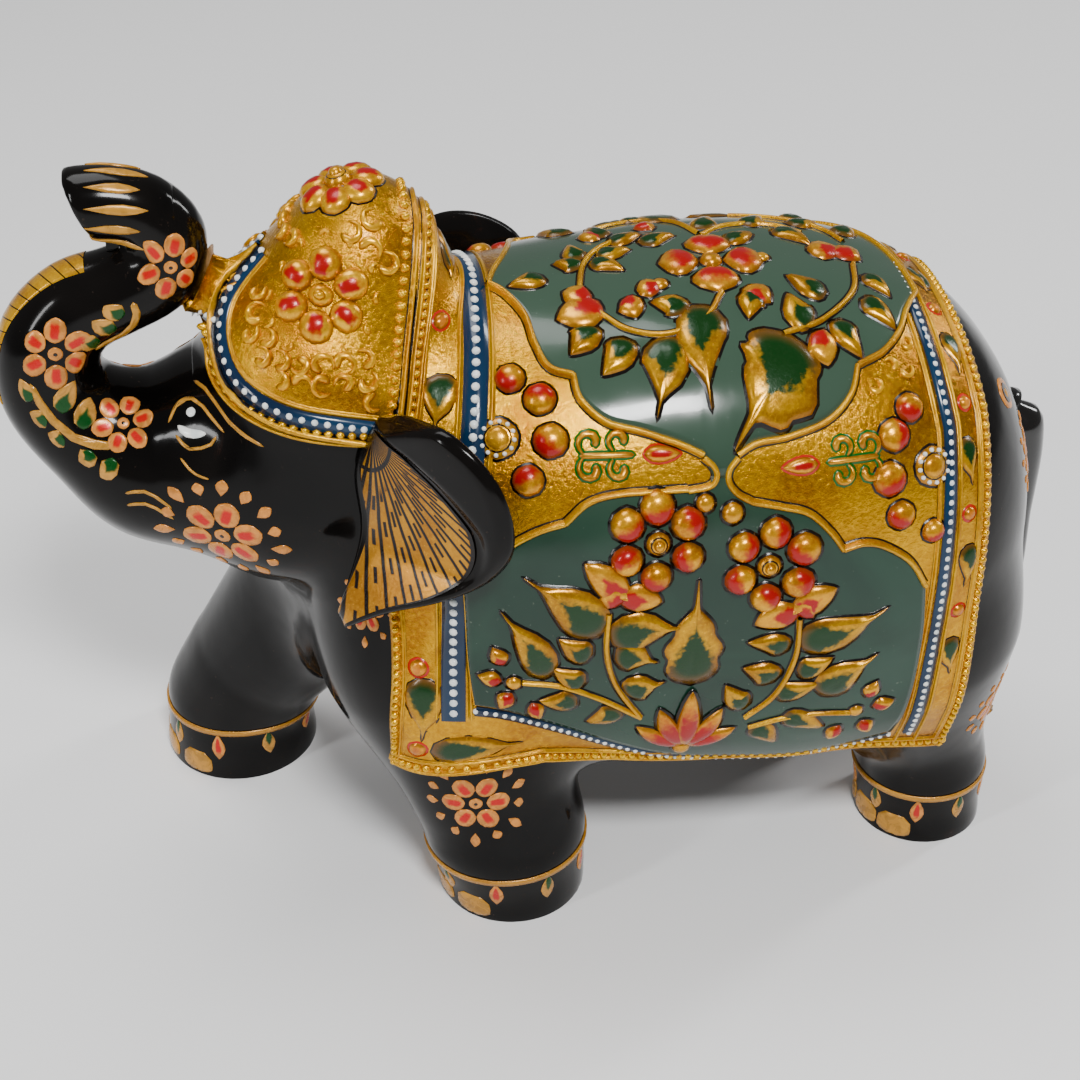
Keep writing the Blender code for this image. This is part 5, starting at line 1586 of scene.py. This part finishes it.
FIELD_BOSSES = {
    "front": (((-8.5, -23, 118), 2.7), ((-3.8, -27, 116), 2.9), ((-2.6, -32, 110.5), 3.1),
        ((-7, -35.5, 105), 2.8)),
    "rear": (((61.5, -31, 111), 2.7), ((58, -34, 107.5), 3.0), ((56.8, -37.6, 101), 3.2),
        ((59, -40, 94.8), 2.7), ((65.5, -40.8, 91), 2.2)),
}


def gold_fields(name, side):
    """Red bosses, medallions, sprigs and embossed curls on the two gilded fields of one flank."""
    medal, curls = Relief(ON_GOLD), Relief(ON_GOLD, skirt=0)
    sprigs, reds = (Relief(ON_GOLD, skirt=0.42) for _ in range(2))
    for where, bosses in FIELD_BOSSES.items():
        batch = Relief(ON_GOLD, skirt=0.42)
        for place, radius in bosses:
            batch.disc(spot(place, (0.1, 0, 1), side), (0, 0), radius, 1.9, wash=1.0)
        batch.lay(f"{where}_field_bosses_{name}", RED_BOSSES, "red_gold_relief",
                (f"{where}_boss_{name}",))
    for place in ((-11.5, -30, 110.5), (65.5, -36.5, 102)):
        chart = spot(place, (0, 0, 1), side)
        medal.disc(chart, (0, 0), 3.6, 0.7)
        medal.disc(chart, (0, 0), 2.0, 0.7, base=0.5)
        dots = Relief(ON_GOLD + 0.6)
        angle = np.linspace(0, 2 * math.pi, 12, endpoint=False)
        beads(dots, chart(2.9 * np.cos(angle), 2.9 * np.sin(angle)), 0.4, 0.3)
        dots.lay(f"medallion_dots_{name}", WHITE_ENAMEL, "white_enamel")
    for place, facing in (((8, -35.6, 109.0), 1), ((49, -36.6, 105.0), -1)):
        chart = spot(place, (0, 0, 1), side)
        for x, y, radius, turn, flip in ((-4.2, 2.3, 2.3, 4.2, -1), (-4.2, -2.3, 2.3, 2.1, 1),
                (0.8, 2.5, 2.0, 4.2, -1), (0.8, -2.5, 2.0, 2.1, 1)):
            curl(sprigs, chart, (x * facing, y), radius, turn if facing > 0 else math.pi - turn,
                 4.9, 0.42, 0.8, flip * facing)
        sprigs.stroke(chart, [(-6 * facing, 0), (3.5 * facing, 0)], 0.5 * FLAT_STROKE, 0.6)
        reds.stroke(chart, [(5.2 * facing, 0), (11.6 * facing, 0)], 1.5 * PETAL, 1.0, wash=1.0)
    rng = np.random.default_rng(7)
    taken = [np.array(p) * (1, -side, 1) for bosses in FIELD_BOSSES.values() for p, _ in bosses]
    taken += [np.array(p) * (1, -side, 1)
            for p in ((-11.5, -30, 110.5), (65.5, -36.5, 102), (8, -35.6, 109), (14, -36, 108.5),
            (49, -36.6, 105), (41, -37, 106))]
    fields = [(x, y) for x in np.arange(-16, 6, 3.6) for y in np.arange(3, 33, 3.8)]
    fields += [(x, y) for x in np.arange(55, 66, 3.6) for y in np.arange(10, 37, 3.8)]
    for x, y in fields:
        x, y = x + rng.uniform(-0.7, 0.7), y + rng.uniform(-0.7, 0.7)
        edge = np.interp(y, (3, 12, 18, 23, 25, 28, 31, 33), (-9, -6.5, -5, -3, 0.5, 1.5, 5, 12))
        aft = np.interp(y, (9, 14, 19, 24, 27, 31, 34), (68, 65, 62, 57.5, 53, 51, 46))
        if (x < 30 and x > edge - 2.6) or (x > 30 and x < aft + 2.6):
            continue
        start = top(np.array([x]), np.array([side * y]))[0]
        if any(np.linalg.norm(start - spent) < 5.2 for spent in taken):
            continue
        if start[0] < cloth_front(start[2]) + 17 or start[0] > cloth_rear(start[2]) - 12.5:
            continue
        curl(curls, spot(start * (1, -side, 1), (0.2, 0, 1), side), (0, 0), rng.uniform(1.2, 1.7),
             rng.uniform(0, 6.28), 4.4, 0.4, 0.55, rng.choice((-1, 1)), tone=0.5)
    medal.lay(f"field_medallions_{name}", GOLD_RELIEF, "gold_leaf")
    sprigs.lay(f"field_sprigs_{name}", GREEN_EDGED, "gold_leaf")
    reds.lay(f"field_red_buds_{name}", RED_EDGED, "red_gold_relief")
    curls.lay(f"field_curls_{name}", CAP_RELIEF, "gold_leaf")


for side_name, side_sign in SIDES.items():
    gold_fields(side_name, side_sign)


def borders():
    """Motifs that repeat along the collar and along the rear border, and the corner motifs over
    the front legs."""
    leaves, rings = Relief(ON_GOLD, skirt=0.32), Relief(ON_GOLD, skirt=0.5)
    for edge, off, gap, reach, wide in ((cloth_front, 5.2, 11.0, 9.0, 2.0),
            (cloth_rear, -4.75, 8.6, 7.6, 1.25)):
        path = above(girth(off, edge, 500), 74 if edge is cloth_front else 52)
        half = path[path[:, 1] <= 0]
        for side in (LEFT, RIGHT):
            line = evenly(half[::-1] * (1, -side, 1), gap)
            for i, (here, after) in enumerate(zip(line[:-1], line[1:])):
                chart = spot(here, here - after)
                if i % 2:
                    rings.disc(chart, (0, 0), min(wide, 1.7), 0.8, wash=1.0)
                else:
                    leaf(leaves, chart, (0, reach * 0.5), (0.4, -reach * 0.62), wide,
                         0.7 if i % 4 else -0.7, 0.7, HOOK)
    for side in (LEFT, RIGHT):
        chart = flank(side)
        rings.disc(chart, (-27.4, 66.5), 1.7, 0.8, wash=1.0)
        rings.disc(chart, (-27.2, 48.3), 1.7, 0.8, wash=1.0)
        leaf(leaves, chart, (-27.4, 64.4), (-26.6, 50.6), 2.2, 0.8, 0.7, HOOK)
        leaf(leaves, chart, (-24.6, 48.2), (-9.5, 49.5), 2.0, 0.5, 0.7, HOOK)
    rings.lay("border_red_buds", RED_EDGED_RING, "red_gold_relief")
    leaves.lay("border_leaves", GREEN_LEAVES, "gold_leaf")


borders()


# ---------------------------------------------------------------- cap

CAP_FORE = ((-62, 0, 122.5), (-61, 3.5, 121.5), (-59, 7.5, 120.5), (-58.6, 11, 117.5),
        (-56.8, 15.5, 115.2), (-53, 19.6, 113.4),
        (-47, 23, 111.8), (-39, 25.2, 110.6), (-31, 27, 109.8))
CAP_AFT = ((-31, 27, 109.8), (-29.5, 24, 115), (-27.6, 19, 121), (-25.6, 13, 129.5),
        (-23.9, 6.5, 139.5), (-23.4, 0, 142))
CAP_BAND = ((-49.3, 2.4, 135.2), (-53, 3.6, 131.5), (-55.6, 5.5, 128), (-57, 8.5, 124.5),
        (-56.8, 12.4, 121), (-55, 16.4, 118),
        (-51, 20.4, 115.8), (-46, 23, 114.2), (-40, 24.8, 113), (-32.5, 26.6, 111.6))
CAP_HEART = np.array((-38.0, 0.0, 116.0))
CAP_REACH = 27
CROWN_TOP = (-35.5, 0, 147)


def sideways(path, off):
    """A line moved along the carving, to the left of its way as seen from outside."""
    path = BODY.settled(path, 0.0)
    side = np.cross(BODY.slope(path), np.gradient(path, axis=0))
    return path + side / (np.linalg.norm(side, axis=1)[:, None] + 1e-9) * off


def lay_cap():
    """The gilded cap with its dotted band, ridges, beads, rosettes and curls."""
    fore = curve(CAP_FORE, 70)
    aft = curve(CAP_AFT, 50)
    half = np.concatenate([fore, aft[1:]])
    loop = np.concatenate([half * (1, -1, 1), half[-2:0:-1]])
    way = loop - CAP_HEART
    way /= np.linalg.norm(way, axis=1)[:, None]
    crown = np.array((0.12, 0.0, 0.993))
    spread = np.arccos(np.clip(way @ crown, -1, 1))
    shares = np.linspace(0, 1, 64)[:, None]
    ray = (np.sin((1 - shares) * spread)[..., None] * crown + np.sin(shares * spread)[..., None]
           * way) / np.sin(spread)[..., None]
    ray = np.concatenate([ray, ray[-1:]])
    level = np.full(ray.shape[:2], CLOTH)
    level[-1] = SUNK
    points = BODY.settled((CAP_HEART + CAP_REACH * ray).reshape(-1, 3), level.reshape(-1), 5)
    made = make_piece("gilded_cap", points, grid_faces(len(ray), len(loop), wrap_columns=True),
            GROUND, ("head_cap",))
    shells_out(made)
    band, ring, trim, dots = Strips(), Strips(), Relief(CLOTH), Relief(CLOTH + 0.5)
    for side in (LEFT, RIGHT):
        path = curve(CAP_BAND, 90) * (1, side, 1)
        band.add(path, *ribbon_profile(3.0, 0.45, CLOTH))
        beads(dots, evenly(path, 2.0), 0.62, 0.4)
        ring.add(sideways(path, 2.5 * side), *ridge(1.3, 1.0, base=CLOTH, line=0.15))
        ring.add(sideways(path, -2.1 * side), *ridge(0.6, 0.4, base=CLOTH, line=0.2))
        strap = curve([(-61.2, 0.2, 124.6), (-60, 3.4, 124.4), (-57.6, 6.6, 124.2)], 20) * (1, side, 1)
        band.add(strap, *ribbon_profile(2.2, 0.4, CLOTH))
        beads(dots, evenly(strap, 1.8), 0.55, 0.4)
        edge = sideways(fore * (1, side, 1), -0.5 * side)
        beads(trim, evenly(edge[6:], 1.9), 0.92, 1.0)
        inner = sideways(fore * (1, side, 1), 1.3 * side)
        ring.add(inner[8:], *ridge(0.6, 0.4, base=CLOTH, line=0.2))
    rear = above(girth(-2.6, cloth_front, 700), 110.5)
    beads(trim, evenly(rear, 2.1), 0.9, 0.95)
    for off in (-0.9, 0.6, 2.2):
        ring.add(above(girth(off, cloth_front, 600), 111.5), *ridge(0.7, 0.6, base=CLOTH, line=0.36))
    band.lay("cap_dotted_band", BLUE_ENAMEL, "blue_enamel", ("cap_band",))
    ring.lay("cap_ridges", STEM_INKED, "gold_leaf")
    trim.lay("cap_bead_trim", BEAD_GOLD, "gold_leaf", ("cap_trim",))
    dots.lay("cap_band_dots", WHITE_ENAMEL, "white_enamel")
    crown_batch = Relief(CLOTH, skirt=0.45)
    chart = spot(CROWN_TOP, (-1, 0, 0.1))
    for i in range(7):
        crown_batch.petal(chart, (0, 0), 0.45 + 2 * math.pi * i / 7, 2.0, 8.8, 2.9, 1.5, wash=1.0,
                shape=ROUND ** 0.8)
    crown_batch.disc(chart, (0, 0), 2.3, 1.9)
    crown_batch.disc(chart, (0, 0), 1.1, 1.2, base=1.4)
    crown_batch.lay("crown_rosette_petals", CROWN_PETALS, "red_gold_relief", ("crown_rosette",))
    curls = Relief(CLOTH, skirt=0)
    rng = np.random.default_rng(3)
    places = [CAP_HEART + CAP_REACH
            * np.array((math.sin(t) * math.cos(p), math.sin(t) * math.sin(p), math.cos(t)))
            for t in np.arange(0.38, 1.75, 0.142)
            for p in np.arange(0, 2 * math.pi, 0.155 / math.sin(t)) + rng.uniform(0, 1)]
    places = BODY.settled(np.array(places), CLOTH, 5)
    flowers = {"left": (-40, -14.5, 132.5), "right": (-40, 14.5, 132.5)}
    ring_line = np.concatenate([curve(CAP_BAND, 60) * (1, -1, 1), curve(CAP_BAND, 60)])
    for place in places:
        gap = np.linalg.norm(ring_line - place, axis=1).min()
        nearest = ring_line[np.linalg.norm(ring_line - place, axis=1).argmin()]
        outside = place[2] < nearest[2] - 0.5 or place[0] < nearest[0] - 1.0
        far = min(np.linalg.norm(np.array(f) - place) for f in flowers.values())
        behind = place[0] > cloth_front(place[2]) - 5.4
        under_crown = np.linalg.norm(place - CROWN_TOP) < 10.8
        if outside or gap < 4.9 or far < 10.6 or behind or under_crown:
            continue
        curl(curls, spot(place, (0.1, 0, 1)), (0, 0), rng.uniform(1.7, 2.3), rng.uniform(0, 6.28),
             rng.uniform(3.8, 5.4), 0.52, 1.0, rng.choice((-1, 1)), tone=0.5)
    for name, place in flowers.items():
        side = SIDES[name]
        batch = Relief(CLOTH, skirt=0)
        chart = spot((place[0], -abs(place[1]), place[2]), (0, 0, 1), side)
        for i in range(6):
            batch.petal(chart, (0, 0), 0.1 + math.pi * i / 3, 2.4, 8.6, 2.9, 2.1, wash=1.0,
                    shape=ROUND ** 0.7)
        batch.disc(chart, (0, 0), 2.2, 1.4)
        batch.disc(chart, (0, 0), 1.0, 1.0, base=1.2)
        for i in range(12):
            curl(curls, chart, (10.2 * math.sin(i * 0.5236), 10.2 * math.cos(i * 0.5236)), 1.1,
                 i * 0.5, 3.4, 0.4, 0.6, 1, tone=0.5)
        batch.lay(f"cap_rosette_petals_{name}", CAP_RELIEF, "red_gold_relief", (f"cap_rosette_{name}",))
    for i in range(5):
        fan = spot((-56.0, -0.0, 129.5), (0.6, 0, 1))
        curls.stroke(fan, [(-3 + 1.5 * i, -3.5 + 0.3 * abs(i - 2)),
                (-5 + 2.5 * i, 4 - 0.4 * abs(i - 2))], 0.55 * DROP, 0.6)
    curls.lay("cap_curls", CAP_RELIEF, "gold_leaf")


lay_cap()


# ---------------------------------------------------------------- painted flowers, feet and face

# Heights of paint on the lacquer, and of ink over that paint.
PAINT, OVER_PAINT = 0.12, 0.26


def painted_flower(batch, ink, chart, size, turn=0.0, drops=0):
    """Six loaded strokes with a red streak in each, round an eye, and a fringe of plain drops."""
    for i in range(6):
        batch.petal(chart, (0, 0), turn + math.pi * i / 3, size * 0.3, size, size * 0.3, 0.16,
                wash=1.0, shape=ROUND ** 0.85)
    batch.disc(chart, (0, 0), size * 0.19, 0.16)
    ink.disc(chart, (0, 0), size * 0.055, 0.05)
    for i in range(drops):
        angle = turn + 2 * math.pi * (i + 0.5) / drops
        batch.petal(chart, (0, 0), angle, size * 1.14, size * (1.56 + 0.1 * math.sin(9.0 * i)),
                size * 0.15, 0.14, shape=DROP)


def paint_skin():
    """The flowers, sprays, face lines, trunk band and feet painted on the lacquer."""
    petals, leaves, plain, white = (Relief(PAINT, skirt=0) for _ in range(4))
    ink = Relief(OVER_PAINT, skirt=0)
    for side in (LEFT, RIGHT):
        painted_flower(petals, ink, spot((-61, -20, 88), (0.1, 0, 1), side), 8.2, 0.2, 15)
        painted_flower(petals, ink, spot((-65.5, -7, 136), (0, 0, 1), side), 6.4, 0.3)
        painted_flower(petals, ink, spot((-87, -9, 121.5), (0, 0, 1), side), 7.0, 0.1)
        painted_flower(petals, ink, spot((-77, -10, 107), (0, 0, 1), side), 5.8, 0.4)
        chart = spot((-86, -9, 109.5), (0, 0, 1), side)
        plain.stroke(chart, [(-6.2, 6.5), (-4.4, 0.5), (0, -5.0), (7.0, -7.6)], 0.85 * FLAT_STROKE,
                0.16)
        for base, tip, bend in (((-6.5, 3.2), (-8.5, 7.4), 0.4), ((-1.5, 0.2), (1.6, 5.8), 0.5),
                ((-4.6, -1.0), (-8.2, 0.6), 0.4), ((1.6, -3.4), (4.2, 2.2), 0.4),
                ((-2.2, -5.0), (-5.4, -3.8), 0.4), ((2.4, -7.4), (-0.6, -9.4), 0.5),
                ((6.6, -9.4), (3.6, -12.4), 0.5)):
            leaf(leaves, chart, base, tip, 1.35, bend, 0.16, PETAL)
        chart = spot((-76.5, -8, 124), (0, 0, 1), side)
        plain.stroke(chart, [(3.6, 6.4), (4.2, 2.4), (1.5, -2.0), (-3.4, -4.4)], 0.7 * FLAT_STROKE,
                0.16)
        for base, tip in (((2.2, 3.8), (-1.6, 6.6)), ((0.6, 0.6), (-3.6, 3.2)),
                ((-2.4, -2.2), (-6.8, -0.4))):
            leaf(leaves, chart, base, tip, 1.3, 0.5, 0.16, PETAL)
        painted_flower(petals, ink, spot((-18, -39, 33), (0, -0.1, 1), side) if side == LEFT
                else spot((-50, -41, 36), (0.3, 0, 1), side), 7.0, 0.5, 13)
        painted_flower(petals, ink, spot((84, -24, 38), (0, 0, 1), side) if side == LEFT
                else spot((66, -37, 34), (0, 0, 1), side), 5.6, 0.2, 12)
        painted_flower(petals, ink, spot((87.5, -14, 88), (0, 0, 1), side), 5.0, 0.2, 10)
        painted_flower(petals, ink, spot((-33, -24, 72), (0, 0, 1), side), 4.6, 0.2, 8)
        # Face: lids, brow and eye.
        chart = spot((-64.5, -13, 108), (0, 0, 1), side)
        white.disc(chart, (-0.6, 1.6), 0.9, 0.2)
        white.stroke(chart, [(-2.4, -1.3), (0, -2.2), (3.4, -1.6)], 0.85 * ROUND, 0.25)
        for line, wide in ((((-4.4, -1.2), (-3.6, 3.2), (-0.6, 4.2), (3.4, 1.8), (7.0, -0.6)), 0.3),
                (((-2.4, -3.0), (0.8, -5.0), (4.6, -3.4), (5.4, -1.6)), 0.3),
                (((-2.5, 7.5), (3.0, 5.4), (9.0, 1.0), (15.0, -1.6)), 0.36),
                (((-0.6, -7), (2.4, -9.6), (5.4, -10.4)), 0.22)):
            plain.stroke(chart, line, wide * FLAT_STROKE, 0.12)
        for lift in (0.0, 2.6):
            plain.stroke(spot((-72.5, -10, 94), (0, 0, 1), side),
                    [(-4, 1.0 - lift), (0, 1.6 - lift), (4.5, -1.4 - lift)], 0.3 * FLAT_STROKE, 0.12)
        chart = spot((86.5, -17, 104), (0, 0, 1), side)
        petals.disc(chart, (0, 0), 3.2, 0.16)
        ink.disc(chart, (0, 0), 2.1, 0.05)
        plain.disc(chart, (0, 0), 1.2, 0.3)
    bend = TRUNK[26:41]
    way = np.gradient(bend[:, :3], axis=0)
    way /= np.linalg.norm(way, axis=1)[:, None]
    outer = np.stack([-way[:, 2], 0 * way[:, 1], way[:, 0]], 1)
    path = curve(bend[:, :3] + outer * bend[:, 3:], 60)
    across = np.r_[-4.7, np.linspace(-4.6, 4.6, 9), 4.7]
    band = Strips()
    band.add(path, across, np.r_[-0.2, np.full(9, 0.14), -0.2])
    band.lay("trunk_band", BANDED_GOLD, "gold_leaf")
    # Trunk tip: teardrops that start at the cut.
    axis = TRUNK[-1, :3] - TRUNK[-8, :3]
    axis /= np.linalg.norm(axis)
    sweep = np.cross(axis, (0, 1, 0))
    for i, angle in enumerate(np.linspace(0, 2 * math.pi, 11, endpoint=False)):
        out = np.array((0, 1, 0)) * math.cos(angle) + sweep * math.sin(angle)
        chart = spot(TRUNK[-6, :3] + out * 6.5, axis)
        plain.stroke(chart, [(0, -6.5 + 1.5 * (i % 2)), (0, 4.5)], 0.95 * DROP[::-1], 0.2)
    feet(petals, plain, leaves)
    petals.lay("painted_petals", PAINTED_PETALS, "red_gold_relief")
    leaves.lay("painted_leaves", PAINTED_LEAVES, "gold_leaf")
    plain.lay("painted_gold_strokes", PAINTED_GOLD, "gold_leaf")
    white.lay("painted_eyes", WHITE_ENAMEL, "white_enamel", ("eye_left", "eye_right"))
    ink.lay("painted_flower_eyes", INK_PAINT, "black_lacquer")


def feet(petals, plain, leaves):
    """On each foot: a painted line with pendants, and half-round toenails along the front."""
    for name, (_, _, sole, _, _, radius) in LEGS.items():
        angle = np.linspace(0, 2 * math.pi, 120, endpoint=False)
        centre = np.array((sole[0], sole[1], 0.0))
        ring = centre + np.stack([np.cos(angle) * radius, np.sin(angle) * radius, 12.5 + 0 * angle], 1)
        ring = BODY.settled(ring, 0.1)
        line = Strips()
        line.add(ring, *ribbon_profile(1.2, 0.25, 0.1), closed=True)
        line.lay(f"anklet_line_{name}", PAINTED_LINE, "gold_leaf", (f"anklet_{name}",))
        for i in range(9):
            place = BODY.settled((centre + (math.cos(i * 0.698 + 0.2) * radius,
                    math.sin(i * 0.698 + 0.2) * radius, 11.5))[None], 0.1)[0]
            batch = leaves if i % 2 else petals
            batch.stroke(spot(place, (0, 0, 1)), [(0, 0.6), (0, -6.2)], 1.5 * DROP, 0.2, wash=1.0)
        for turn in (-0.9, -0.3, 0.3, 0.9):
            way = math.pi + turn
            place = BODY.settled((centre + (math.cos(way) * radius, math.sin(way) * radius,
                    3.0))[None], 0.1)[0]
            plain.stroke(spot(place, (0, 0, 1)), [(-3.8, -1.2), (0, 0.8), (3.8, -1.2)], 2.9 * ROUND,
                    0.25)


paint_skin()


# ---------------------------------------------------------------- hidden pins

for pin_name in ("trunk_dowel", "ear_dowel_left", "ear_dowel_right", "tail_dowel"):
    pin_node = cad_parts[pin_name]
    pin_node.data.materials.clear()
    pin_node.data.materials.append(DOWEL)


# ---------------------------------------------------------------- floor, light and camera

def aim(made, target):
    """Turns a lamp or camera to look at a point."""
    way = Vector(target) - made.location
    made.rotation_euler = way.to_track_quat("-Z", "Y").to_euler()


MIDDLE = (0, 0, 0.06)
FLOOR_HALF = 3.0
SKY_SEEN, SKY_LIGHT = 1.6, 0.26


def lamp(name, place, size, power):
    """A white softbox that looks at the middle of the figure."""
    light = bpy.data.lights.new(name, "AREA")
    light.shape = "RECTANGLE"
    light.size, light.size_y = size
    light.energy = power
    made = bpy.data.objects.new(name, light)
    made.location = place
    bpy.context.scene.collection.objects.link(made)
    aim(made, MIDDLE)


def set_stage():
    """Pale floor, four softboxes, and a sky that looks brighter than it lights."""
    mesh = bpy.data.meshes.new("pale_floor")
    corners = [(x * FLOOR_HALF, y * FLOOR_HALF, 0) for x, y in ((-1, -1), (1, -1), (1, 1), (-1, 1))]
    mesh.from_pydata(corners, [], [(0, 1, 2, 3)])
    floor, r, shader = start_finish("pale_floor")
    wire(r, shader, Base_Color=(0.9, 0.9, 0.9, 1.0), Roughness=0.55, Specular_IOR_Level=0.2)
    mesh.materials.append(floor)
    made = bpy.data.objects.new("pale_floor", mesh)
    bpy.context.scene.collection.objects.link(made)
    world = bpy.data.worlds.new("studio")
    world.use_nodes = True
    sky = Recipe(world.node_tree)
    seen = sky.add("ShaderNodeLightPath").outputs["Is Camera Ray"]
    back = world.node_tree.nodes["Background"]
    back.inputs["Color"].default_value = (1, 1, 1, 1)
    world.node_tree.links.new(sky.math("MULTIPLY_ADD", seen, SKY_SEEN, SKY_LIGHT),
            back.inputs["Strength"])
    bpy.context.scene.world = world
    lamp("high_softbox", (0.05, -0.55, 0.80), (0.20, 0.14), 8.0)
    lamp("overhead", (-0.2, 0.3, 1.1), (0.5, 0.5), 5.5)
    lamp("front_strip", (-0.85, -0.45, 0.5), (0.08, 0.4), 3.0)
    lamp("rear_strip", (0.8, 0.35, 0.55), (0.1, 0.4), 3.0)


# Camera: focal length and sensor, and its distance and the height that it looks at.
LENS, SENSOR = 66.67, 36.0
CAMERA_FAR, AIM_HEIGHT = 400.0, 66.0


def set_camera():
    """A short telephoto from the left front, looking down on the back."""
    data = bpy.data.cameras.new("camera")
    data.lens, data.sensor_width = LENS, SENSOR
    made = bpy.data.objects.new("camera", data)
    bpy.context.scene.collection.objects.link(made)
    rise, turn = math.radians(36), math.radians(8)
    way = np.array((math.sin(turn) * math.cos(rise), math.cos(turn) * math.cos(rise), -math.sin(rise)))
    target = np.array((0, 0, AIM_HEIGHT))
    made.location = (target - way * CAMERA_FAR + SHIFT) * MM
    aim(made, (target + SHIFT) * MM)
    bpy.context.scene.camera = made


set_stage()
set_camera()
